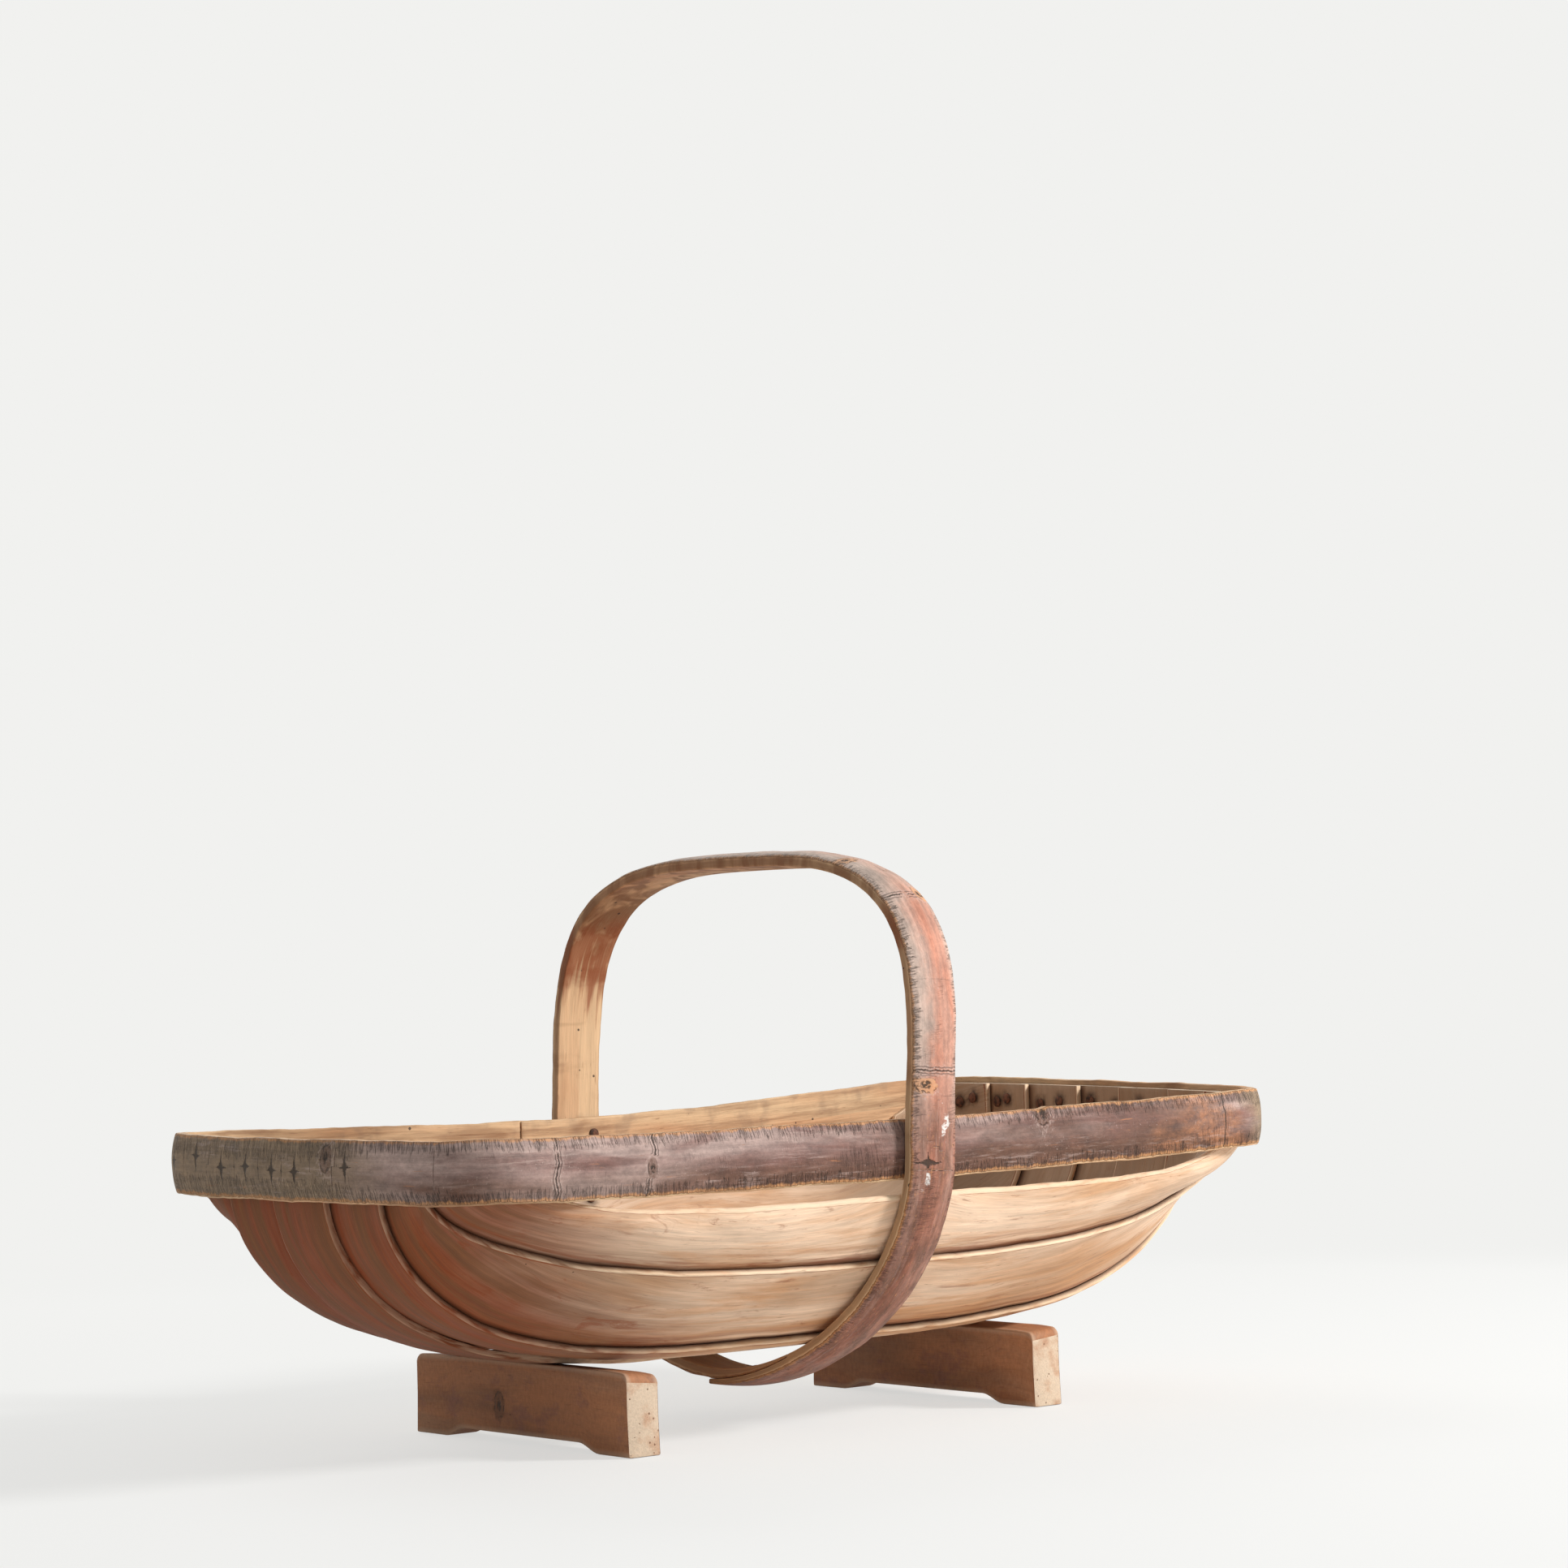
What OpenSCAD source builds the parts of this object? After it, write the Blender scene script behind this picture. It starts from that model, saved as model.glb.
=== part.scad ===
// A garden trug: a cleft rim and a hoop handle with the bark on, seven thin lapped boards nailed
// to them as a boat is planked, two cross feet under the boards, and the nails.
// Millimetres. X runs along the length, Z is up, and the feet stand on Z = 0 about the origin.

/* [Rim] */
// Length over the rim's ends
trug_length = 660; // [620:10:700]
// Width over the rim's sides at the middle
trug_width = 344; // [328:4:360]
// Height of the rim's top edge above the ground
rim_top = 189; // [186:1:194]
// Height of the rim band
rim_depth = 36; // [33:1:39]
// Thickness of the rim band at the crown of its bark face
rim_thickness = 9; // [8:0.5:10]
// How far the rim's bark face is domed
rim_dome = 3; // [2:0.5:3.5]
// Radius of the rim's corners on the bark side
corner_radius = 42; // [38:1:50]
// How far each end bows out past a straight line
end_bulge = 13; // [9:1:16]
// How far each side bows out past a straight line
side_bulge = 3; // [1:0.5:5]
// How far the near side sags in its middle
near_dip = 2; // [0:0.5:3]
// How far the near side climbs at its right end
near_lift = 3; // [0:0.5:4]
// How far the far side sags in its middle
far_dip = 6; // [2:0.5:7]
// How far the far side climbs at its right end
far_lift = 10; // [4:1:11]
// Length of the rim's scarf joint, under the handle on the far side
rim_scarf = 90; // [70:5:110]

/* [Handle] */
// Height of the handle's crown above the ground
handle_top = 350; // [330:2:370]
// Width of the handle band
handle_width = 34; // [30:1:38]
// Thickness of the handle band at the crown of its bark face
handle_thickness = 10.5; // [9.5:0.5:12]
// How far the handle's bark face is domed
handle_dome = 3.5; // [2:0.5:4]
// Lean of the whole hoop toward the right end, in degrees
handle_lean = 3.2; // [0:0.4:4]
// Height of the strap's inner face where it passes under the boards
strap_height = 31; // [28:0.5:33]
// Length of the lap where the hoop's two ends meet under the boards
handle_lap = 80; // [60:5:95]

/* [Boards] */
// Thickness of the seven boards
board_thickness = 4; // [3:0.5:4.5]
// Height of the bowl's underside at its middle
bowl_floor = 44.4; // [42:0.4:47]
// Width of the centre board at the handle
centre_board_width = 76; // [70:2:82]
// Width of the centre board at the rim
centre_board_end = 54; // [48:2:60]
// Height of the second boards' upper edges at the handle
second_board_height = 54.5; // [52:0.5:58]
// Height of the third boards' upper edges at the handle
third_board_height = 101; // [96:1:106]
// Height of the side boards' upper edges at the handle
side_board_height = 141.5; // [137:0.5:144]
// Share of a board's width that lies inside the next lower board
lap_share = 0.2; // [0.15:0.01:0.24]

/* [Feet] */
// Distance between the two feet, centre to centre
foot_spacing = 316; // [296:4:332]
// Length of each foot across the trug
foot_length = 215; // [200:5:230]
// Thickness of each foot
foot_thickness = 22.5; // [20:0.5:25]
// Height of the shallow arch between a foot's two toes
foot_arch = 5.5; // [4.5:0.5:8]
// Length of the flat of each toe
foot_toe = 30; // [24:2:36]

/* [Nails] */
// Diameter of a clout nail's head
nail_head = 7.5; // [6:0.5:8.5]
// Thickness of a nail's head
nail_head_thickness = 1.2; // [1:0.1:1.6]
// Diameter of a nail's shank
nail_shank = 2.4; // [2:0.1:2.8]

/* [Hidden] */

NEAR = -1;
FAR = 1;
LEFT = -1;
RIGHT = 1;

// Gap left between pieces that lie against each other
clear = 0.25;
// Gap all round a nail in its hole
nail_gap = 0.1;
// Gap between a nail's flat head and the curved board under it
head_seat = 0.35;
// The same under the side boards' nails, at the rim's corners
corner_seat = 0.6;
// Thickness left at the thin tip of a scarfed strip, and how far its covered face is hollowed
tip = 1.5;
hollow = 0.1;

bark = [0.40, 0.32, 0.29];
red_bark = [0.50, 0.36, 0.30];
pale_board = [0.80, 0.66, 0.50];
brown_board = [0.70, 0.50, 0.34];
foot_wood = [0.58, 0.45, 0.34];
iron = [0.33, 0.22, 0.17];

// Outline of the rim's inner face: straight runs and round corners, then bowed
inner_a = trug_length/2 - rim_thickness - end_bulge;
inner_b = trug_width/2 - rim_thickness - side_bulge;
inner_r = corner_radius - rim_thickness;
end_run = inner_b - inner_r;
corner_run = inner_r*PI/2;
side_run = inner_a - inner_r;
quarter = end_run + corner_run + side_run;

function ramp(v) = min(1, max(0, v));
function mix(a, b, f) = a + (b - a)*f;
function unit(v) = v/norm(v);

// A point of one quarter of the outline, s along it from the middle of an end
function quarter_point(s) =
    let (turn = 90*ramp((s - end_run)/corner_run),
         x = side_run + inner_r*cos(turn) - max(0, s - end_run - corner_run),
         y = min(s, end_run) + inner_r*sin(turn))
    [x + end_bulge*(1 - pow(y/inner_b, 2))*ramp(2*x/inner_a),
     y + side_bulge*(1 - pow(x/inner_a, 2))*ramp(2*y/inner_b)];

// A point of the whole outline, q along it counter-clockwise from the middle of the right end
function plan(q) =
    let (w = q - 4*quarter*floor(q/(4*quarter)), k = floor(w/quarter), m = w - k*quarter,
         p = quarter_point(k % 2 == 0 ? m : quarter - m))
    [(k == 0 || k == 3 ? 1 : -1)*p[0], (k < 2 ? 1 : -1)*p[1]];

function plan_normal(q) = let (d = unit(plan(q + 0.5) - plan(q - 0.5))) [d[1], -d[0]];

// How far the rim stands above its level at a point: it sags at mid length and climbs at the right
function rise(x, y) =
    let (u = ramp(abs(2*x/trug_length)), far = ramp(0.5 + y/trug_width),
         sag = pow(1 - u*u, 2), climb = x > 0 ? pow(u, 1.5) : 0)
    mix(near_lift*climb - near_dip*sag, far_lift*climb - far_dip*sag, far);

// The hoop's inner face: the lower part sweeps under the boards, the upper part is squarer, and
// between them each leg runs straight for this far below and above the rim's top
leg_straight = 26;
hoop_half = trug_width/2 + clear;
hoop_low = rim_top - leg_straight;
hoop_high = rim_top + leg_straight;
hoop_down = hoop_low - strap_height;
hoop_up = handle_top - handle_thickness - hoop_high;
low_power = 1.87;
high_power = 3.3;
handle_x = 5.6;
handle_turn_z = rim_top - rim_depth;

function hoop_point(a) =
    let (c = cos(a), s = sin(a), p = s < 0 ? low_power : high_power)
    [sign(c)*hoop_half*pow(abs(c), 2/p),
     s < 0 ? hoop_low - hoop_down*pow(-s, 2/p) : hoop_high + hoop_up*pow(s, 2/p)];

function hoop_normal(a) = let (d = unit(hoop_point(a + 0.5) - hoop_point(a - 0.5))) [d[1], -d[0]];

// Half width inside the hoop at a height below its straight part
function hoop_inside(z) =
    hoop_half*pow(1 - pow(max(0, hoop_low - z)/hoop_down, low_power), 1/low_power);

// How far the hoop's lean raises one edge of its strap
lean_lift = handle_width/2*sin(handle_lean) + 0.2;

// Cross-section of a band: flat inner face, two edges, and a domed bark face
dome_steps = 6;
function band(inner, outer, dome, width) = concat(
    [[inner, 0], [inner, width]],
    [for (i = [0:dome_steps]) let (v = 1 - i/dome_steps) [outer + dome*4*v*(1 - v), v*width]]);

// The bowl's outer surface. Edge 0 is the centre line; 1 to 4 are the boards' upper edges.
edge_y = [-centre_board_width/2, 0, centre_board_width/2,
          hoop_inside(second_board_height - lean_lift) - clear,
          hoop_inside(third_board_height - lean_lift) - clear,
          hoop_inside(side_board_height - lean_lift) - clear, hoop_inside(side_board_height) + 2];
edge_z = [bowl_floor + 1.2, bowl_floor, bowl_floor + 1.2, second_board_height, third_board_height,
          side_board_height, side_board_height + 34];
edge_end = [-centre_board_end/2, 0, centre_board_end/2, 0.62*end_run, 0.9*end_run,
            end_run + corner_run + 8, end_run + corner_run + 40];
// How square each edge's lengthwise curve is, and how late it turns in toward the end
edge_power = [4, 4, 4, 4, 3, 5, 5];
edge_turn = [2.5, 2.5, 2.5, 2.5, 2.5, 1.4, 1.4];
// The boards stand upright against the rim from this far below its top
board_seat_drop = 24;
seat_z = rim_top - board_seat_drop;
// The boards stop this far below the rim's top
board_end_drop = 4;
// How far the side boards' slanted ends run back along the rim
end_slant = 46;
// How much higher the side boards' edges run at the left than at the right
side_slant = 2.5;
lap_step = (board_thickness + clear)*(1 + lap_share);

// A smooth value between the entries of a list, where g = 0 is its second entry
function smooth(list, g) =
    let (k = min(len(list) - 4, max(0, floor(g))), f = g - k,
         a = list[k], b = list[k + 1], c = list[k + 2], d = list[k + 3])
    0.5*(2*b + (c - a)*f + (2*a - 5*b + 4*c - d)*f*f + (3*b - a - 3*c + d)*pow(f, 3));

// A point of the bowl: g across it from the centre line, w along it from the handle to an end,
// where the boards turn upright at w = 1 and stop at w = 2
function bowl(g, w, side) =
    let (h = abs(g), t = ramp(abs(w)), up = ramp(abs(w) - 1), end = sign(w),
         s = smooth(edge_end, h) - end_slant*up*ramp(h - 3),
         d = unit(quarter_point(s + 0.5) - quarter_point(s - 0.5)),
         e = quarter_point(s) - (clear + 0.35*ramp(h - 3))*[d[1], -d[0]],
         across = side*(g < 0 ? -1 : 1),
         lift = rise(end*e[0], across*e[1]), seat = seat_z + lift,
         along = pow(sin(90*t), 2/smooth(edge_power, h)),
         z = seat - (seat - smooth(edge_z, h))*cos(90*t) + up*(rim_top - board_end_drop - seat_z),
         slant = -side_slant*ramp(h - 3)*w*4*(1 - t)*t)
    [end*e[0]*along,
     across*mix(smooth(edge_y, h), e[1], pow(along, smooth(edge_turn, h))),
     z + (t < 1 ? slant : 0)];

// The direction into the bowl, square to its surface
function bowl_inward(g, w, side) =
    let (wa = (abs(w) > 0.97 && abs(w) < 1.03) ? sign(w)*0.97 : w,
         along = bowl(g, wa + 0.02, side) - bowl(g, wa - 0.02, side),
         across = bowl(g + 0.02, wa, side) - bowl(g - 0.02, wa, side))
    side*unit(cross(across, along))*-1;

// How far a board's outer face stands inside the bowl's surface, so that it laps the one below
function inset(board, g) = board == 1 ? 0 : lap_step*(board - g)/(1 + lap_share);

along_steps = 22;

// Places across a board: those in the laps match the places on the board they lie against
function places(board) =
    let (half = lap_share/2, upper = [board - 2*half, board - half, board], low = board - 1)
    board == 1 ? concat([for (i = [2:-1:0]) -upper[i]], [-0.4, 0, 0.4], upper) :
    board == 4 ? concat([low - 2*half, low - half], [for (i = [0:7]) low + i/10], upper) :
    concat([low - 2*half, low - half, low, low + 0.27, low + 0.53], upper);
stations = concat(
    [for (i = [0:3]) -2 + i/4],
    [for (i = [-along_steps:along_steps]) i/along_steps],
    [for (i = [1:4]) 1 + i/4]);

// A point of a board, at a depth in from its outer face
function face(board, g, w, side, depth) =
    bowl(g, w, side) + bowl_inward(g, w, side)*(inset(board, g) + depth);

// The direction into the bowl, square to a board's inner face
function face_inward(board, g, w, side) =
    let (t = board_thickness, d = 0.02,
         along = face(board, g, w + d, side, t) - face(board, g, w - d, side, t),
         across = face(board, g + d, w, side, t) - face(board, g - d, w, side, t))
    -side*unit(cross(across, along));

// One solid from a row of like outlines
module skin(rings) {
    n = len(rings[0]);
    m = len(rings);
    sides = [for (i = [0:m - 2], j = [0:n - 1])
        let (a = i*n + j, b = i*n + (j + 1)%n) each [[a, a + n, b + n], [a, b + n, b]]];
    caps = [[for (j = [0:n - 1]) j], [for (j = [n - 1:-1:0]) (m - 1)*n + j]];
    polyhedron([for (r = rings) each r], concat(sides, caps));
}

// A board from edge to edge: board 1 is the centre one and spans both sides
module board_body(board, side) {
    gs = places(board);
    rings = [for (w = stations) concat(
        [for (g = gs) face(board, g, w, side, 0)],
        [for (j = [len(gs) - 1:-1:0]) face(board, gs[j], w, side, board_thickness)])];
    skin(side == FAR ? rings : [for (i = [len(rings) - 1:-1:0]) rings[i]]);
}

// A nail that points along +X from its head, which lies behind the origin
module nail(length) {
    rotate([0, 90, 0]) {
        cylinder(h = length, d = nail_shank, $fn = 16);
        translate([0, 0, -nail_head_thickness])
            cylinder(h = nail_head_thickness, d = nail_head, $fn = 24);
    }
}

module nail_hole(length) {
    rotate([0, 90, 0]) translate([0, 0, -1])
        cylinder(h = length + 2, d = nail_shank + 2*nail_gap, $fn = 16);
}

// Moves a child from +X to point out of the bowl through a board at g, w
module out_through(board, g, w, side) {
    inward = face_inward(board, g, w, side);
    place = face(board, g, w, side, board_thickness) + inward*(board == 4 ? corner_seat : head_seat);
    translate(place) rotate([0, -asin(-inward[2]), atan2(-inward[1], -inward[0])]) children();
}

// Where each board is nailed to the rim: across it, and how far along it
function end_nails(board) =
    board == 1 ? [[-0.5, 1.35], [0.5, 1.5]] :
    board == 2 ? [[1.25, 1.45], [1.6, 1.35]] :
    board == 3 ? [[2.25, 1.5], [2.6, 1.38]] : [[3.12, 1.5], [3.34, 1.35], [3.56, 1.15]];

// Where each board is nailed to the handle
function handle_nails(board) = board == 1 ? [] : [board - 0.32];

// How far along the bowl's middle line a distance from the handle lies
function reach(x) = asin(pow(x/(inner_a + end_bulge - clear), 2))/90;

module board_end_set(board, side) {
    for (n = end_nails(board), end = [LEFT, RIGHT])
        out_through(board, n[0], end*n[1], side) children();
}

module board_handle_set(board, side) {
    for (g = handle_nails(board)) out_through(board, g, 0.0001, side) children();
}

// How far a nail's end stands past what it goes through, and how far its hole is cut past it
nail_proud = 1;
hole_past = 6;
through_rim = board_thickness + rim_thickness - rim_dome + nail_proud;
through_handle = board_thickness + handle_thickness - handle_dome + 2*nail_proud;
through_leg = rim_thickness + handle_thickness - handle_dome;
// How deep the nails of the feet go below the board
foot_nail_depth = 22;
through_foot = board_thickness + foot_nail_depth;

module board_nails(board, side) {
    color(iron) {
        board_end_set(board, side) nail(through_rim);
        board_handle_set(board, side) nail(through_handle);
    }
}

// A board with its nail holes
module board(board, side, shade) {
    color(shade) difference() {
        board_body(board, side);
        board_end_set(board, side) nail_hole(through_rim + hole_past);
        board_handle_set(board, side) nail_hole(through_handle + hole_past);
        if (board == 1) foot_nail_set() nail_hole(through_foot);
    }
}

// Nails through the centre board into one foot or both
module foot_nail_set(ends = [LEFT, RIGHT]) {
    for (end = ends, g = [-0.42, 0.42])
        out_through(1, g, end*reach(foot_spacing/2), FAR) children();
}

// Rim
rim_edge = rim_thickness - rim_dome;
rim_low = rim_top - rim_depth;
// Places of the rim's rings: along one quarter, then both ways from the middle of an end
quarter_stops = concat(
    [for (i = [0:5]) end_run*i/6],
    [for (i = [0:7]) end_run + corner_run*i/8],
    [for (i = [0:11]) end_run + corner_run + side_run*i/12]);
end_stops = concat([for (i = [len(quarter_stops) - 1:-1:1]) -quarter_stops[i]], quarter_stops);

function rim_ring(q, inner, outer, dome) =
    let (p = plan(q), n = plan_normal(q), z = rim_low + rise(p[0], p[1]))
    [for (b = band(inner, outer, dome, rim_depth)) [p[0] + n[0]*b[0], p[1] + n[1]*b[0], z + b[1]]];

// Where a scarf's slanted face stands, from its outer tip to its inner tip
function scarf_line(edge, f) = mix(edge - tip, tip, f);

module rim_body() {
    first = quarter - rim_scarf/2;
    last = quarter + rim_scarf/2;
    turn = 4*quarter;
    stops = [for (k = [2, 4], s = end_stops)
        let (q = k*quarter + s) if (q > last + 2 && q < turn + first - 2) q];
    outer_lap = [for (i = [0:4]) let (f = i/4)
        rim_ring(mix(first, last, f), scarf_line(rim_edge, f) + clear, rim_edge, rim_dome)];
    inner_lap = [for (i = [0:4]) let (f = i/4)
        rim_ring(turn + mix(first, last, f), 0, scarf_line(rim_edge, f), -hollow)];
    skin(concat(
        outer_lap,
        [rim_ring(last + clear, tip + clear, rim_edge, rim_dome)],
        [for (q = concat(last + 2*clear, stops, turn + first - 2*clear))
            rim_ring(q, 0, rim_edge, rim_dome)],
        [rim_ring(turn + first - clear, 0, scarf_line(rim_edge, 0), -hollow)],
        inner_lap));
}

// Moves a child to point out through the rim at q, its head against the inner face
module out_through_rim(q, z) {
    p = plan(q);
    n = plan_normal(q);
    translate([p[0] - n[0]*clear/2, p[1] - n[1]*clear/2, z + rise(p[0], p[1])])
        rotate([0, 0, atan2(n[1], n[0])]) children();
}

// Nails that hold the handle's legs to the rim's sides, two to a leg, beside its middle line and
// above the rim's lower edge; and those of the rim's scarf, one a little higher than the other
leg_nail_low = [8, 11];
leg_nail_high = [-7, 25];
scarf_nail_step = 2;

module rim_handle_set() {
    for (side = [FAR, NEAR], place = [leg_nail_low, leg_nail_high])
        out_through_rim((side == FAR ? quarter : 3*quarter) - side*handle_x + place[0],
            rim_low + place[1]) children();
}

module rim_scarf_set() {
    for (end = [LEFT, RIGHT])
        out_through_rim(quarter + end*rim_scarf*0.36,
            rim_low + rim_depth/2 + scarf_nail_step*end) children();
}

module rim() {
    color(bark) difference() {
        rim_body();
        for (side = [NEAR, FAR], b = [2:4]) board_end_set(b, side) nail_hole(through_rim + hole_past);
        board_end_set(1, FAR) nail_hole(through_rim + hole_past);
        rim_handle_set() nail_hole(through_leg + hole_past);
        rim_scarf_set() nail_hole(rim_edge + hole_past);
    }
}

// Handle
handle_edge = handle_thickness - handle_dome;
lap_turn = asin(handle_lap/hoop_half);
lap_first = -86.5 - lap_turn;
lap_last = -86.5;
outer_tip = 3;
// Nails of the lap: how far they stop short of its bark, and stand beside the strap's middle line
lap_nail_short = 0.5;
lap_nail_side = 6;
through_lap = handle_edge + outer_tip - lap_nail_short;

function handle_ring(a, inner, outer, dome) =
    let (p = hoop_point(a), n = hoop_normal(a))
    [for (b = band(inner, outer, dome, handle_width))
        [b[1] - handle_width/2, p[0] + n[0]*b[0], p[1] + n[1]*b[0]]];

// Leans a child with the hoop
module lean() {
    translate([handle_x, 0, handle_turn_z]) rotate([0, handle_lean, 0])
        translate([0, 0, -handle_turn_z]) children();
}

module handle_body() {
    stops = [for (i = [0:109]) let (a = -84 + 3*i) if (a < 360 + lap_first - 1) a];
    inner_lap = [for (i = [0:5]) let (f = i/5)
        handle_ring(mix(lap_first, lap_last, f), 0, mix(tip, handle_edge, f), -hollow)];
    outer_lap = [for (i = [0:5]) let (f = i/5)
        handle_ring(360 + mix(lap_first, lap_last, f), mix(tip, handle_edge, f) + clear,
            handle_edge + f*(clear + outer_tip), handle_dome*(1 - 0.7*f))];
    skin(concat(
        inner_lap,
        [for (a = stops) handle_ring(a, 0, handle_edge, handle_dome*ramp((a + 87)/9))],
        [handle_ring(360 + lap_first - 0.3, 0, handle_edge, handle_dome),
         handle_ring(360 + lap_first - 0.1, tip + clear, handle_edge, handle_dome)],
        outer_lap));
}

// Moves a child to point out through the strap at an angle round the hoop
module out_through_strap(a, x) {
    p = hoop_point(a);
    n = hoop_normal(a);
    lean() translate([x, p[0] - n[0]*head_seat, p[1] - n[1]*head_seat])
        rotate([0, 0, 90]) rotate([0, -atan2(n[1], n[0]), 0]) children();
}

module strap_lap_set() {
    for (i = [0, 1])
        out_through_strap(mix(lap_first, lap_last, 0.28 + 0.44*i), (2*i - 1)*lap_nail_side)
            children();
}

module handle() {
    color(red_bark) difference() {
        lean() handle_body();
        for (side = [NEAR, FAR], b = [2:4]) board_handle_set(b, side) nail_hole(through_handle + hole_past);
        rim_handle_set() nail_hole(through_leg + hole_past);
        strap_lap_set() nail_hole(through_lap + hole_past);
    }
}

// Feet
toe_ease = 20;
foot_round = 5;

// Height of the board's underside at the feet, and its slope there
function under(x) = bowl(0, reach(x), FAR)[2];
foot_top = under(foot_spacing/2) - clear;
foot_slope = (under(foot_spacing/2 + 1) - under(foot_spacing/2 - 1))/2;

// A foot's outline across the trug, on its length and height
function foot_outline(top) = let (half = foot_length/2, flat = half - foot_toe) concat(
    [[half, 0], [half - 1, top/2]],
    [for (a = [0:30:90]) [half - 1 - foot_round*(1 - cos(a)), top - foot_round*(1 - sin(a))]],
    [for (a = [90:-30:0]) [-half + 1 + foot_round*(1 - cos(a)), top - foot_round*(1 - sin(a))]],
    [[-half + 1, top/2], [-half, 0]],
    [for (i = [0:6]) [-flat + toe_ease*i/6, foot_arch*(1 - cos(180*i/6))/2]],
    [for (i = [6:-1:0]) [flat - toe_ease*i/6, foot_arch*(1 - cos(180*i/6))/2]]);

module foot(end) {
    near_face = foot_spacing/2 - foot_thickness/2;
    far_face = foot_spacing/2 + foot_thickness/2;
    tall = foot_top + foot_slope*foot_thickness/2;
    color(foot_wood) difference() {
        intersection() {
            translate([end*foot_spacing/2 - foot_thickness/2, 0, 0]) rotate([90, 0, 90])
                linear_extrude(foot_thickness) polygon(foot_outline(tall));
            translate([0, foot_length/2 + 1, 0]) rotate([90, 0, 0]) linear_extrude(foot_length + 2)
                polygon([[end*near_face - end, -1], [end*far_face + end, -1],
                    [end*far_face + end, foot_top + foot_slope*(foot_thickness/2 + 1)],
                    [end*near_face - end, foot_top - foot_slope*(foot_thickness/2 + 1)]]);
        }
        foot_nail_set([end]) nail_hole(through_foot + 2*nail_proud);
    }
}

module foot_nails(end) { color(iron) foot_nail_set([end]) nail(through_foot); }

module centre_board() { board(1, FAR, pale_board); }
module near_second_board() { board(2, NEAR, brown_board); }
module far_second_board() { board(2, FAR, brown_board); }
module near_third_board() { board(3, NEAR, pale_board); }
module far_third_board() { board(3, FAR, pale_board); }
module near_side_board() { board(4, NEAR, pale_board); }
module far_side_board() { board(4, FAR, pale_board); }
module left_foot() { foot(LEFT); }
module right_foot() { foot(RIGHT); }
module centre_board_nails() { board_nails(1, FAR); }
module near_second_board_nails() { board_nails(2, NEAR); }
module far_second_board_nails() { board_nails(2, FAR); }
module near_third_board_nails() { board_nails(3, NEAR); }
module far_third_board_nails() { board_nails(3, FAR); }
module near_side_board_nails() { board_nails(4, NEAR); }
module far_side_board_nails() { board_nails(4, FAR); }
module rim_handle_nails() { color(iron) rim_handle_set() nail(through_leg); }
module lap_nails() {
    color(iron) {
        rim_scarf_set() nail(rim_edge);
        strap_lap_set() nail(through_lap);
    }
}
module left_foot_nails() { foot_nails(LEFT); }
module right_foot_nails() { foot_nails(RIGHT); }

rim();
handle();
centre_board();
near_second_board();
far_second_board();
near_third_board();
far_third_board();
near_side_board();
far_side_board();
left_foot();
right_foot();
centre_board_nails();
near_second_board_nails();
far_second_board_nails();
near_third_board_nails();
far_third_board_nails();
near_side_board_nails();
far_side_board_nails();
rim_handle_nails();
lap_nails();
left_foot_nails();
right_foot_nails();
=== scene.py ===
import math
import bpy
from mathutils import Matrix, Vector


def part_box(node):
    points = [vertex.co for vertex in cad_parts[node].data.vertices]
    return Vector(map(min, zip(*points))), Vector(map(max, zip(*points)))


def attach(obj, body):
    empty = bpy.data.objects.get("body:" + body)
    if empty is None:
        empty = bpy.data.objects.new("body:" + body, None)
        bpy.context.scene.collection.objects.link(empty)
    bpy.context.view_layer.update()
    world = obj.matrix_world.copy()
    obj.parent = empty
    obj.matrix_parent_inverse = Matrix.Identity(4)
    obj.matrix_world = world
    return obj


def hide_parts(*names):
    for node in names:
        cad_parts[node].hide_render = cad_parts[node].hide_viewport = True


bl_info = {
    "name": "Garden trug",
    "version": (1, 0, 0),
    "blender": (4, 5, 0),
    "location": "View3D > Sidebar > Trug",
    "description": "Dresses a cleft wood garden trug: rim, handle, lapped boards, feet and clout nails",
    "category": "Add Mesh",
}

import bpy
import numpy as np
from bpy.props import FloatProperty, FloatVectorProperty, IntProperty, PointerProperty
from bpy.types import Operator, Panel, PropertyGroup
from mathutils import Matrix, Vector

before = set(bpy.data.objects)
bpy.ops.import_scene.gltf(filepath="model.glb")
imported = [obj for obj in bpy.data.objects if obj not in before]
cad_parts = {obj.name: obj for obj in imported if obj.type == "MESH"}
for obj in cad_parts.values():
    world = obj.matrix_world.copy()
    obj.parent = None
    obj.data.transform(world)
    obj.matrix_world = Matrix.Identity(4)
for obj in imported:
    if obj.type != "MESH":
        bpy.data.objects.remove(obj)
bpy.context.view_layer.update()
RIM_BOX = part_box("rim")
HANDLE_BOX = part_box("handle")
NEAR, FAR = -1, 1
LEFT, RIGHT = -1, 1


# Sizes and colours that a user may change

def size(name, default, description):
    return FloatProperty(name=name, default=default, description=description, unit="LENGTH", precision=4)


def tint(name, code, description):
    """A colour property whose default is written as a six-figure screen colour."""
    channels = [int(code[i:i + 2], 16)/255 for i in (0, 2, 4)]
    linear = [c/12.92 if c <= 0.04045 else ((c + 0.055)/1.055)**2.4 for c in channels]
    return FloatVectorProperty(
        name=name, default=linear, description=description, subtype="COLOR", size=3, min=0, max=1)


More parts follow.
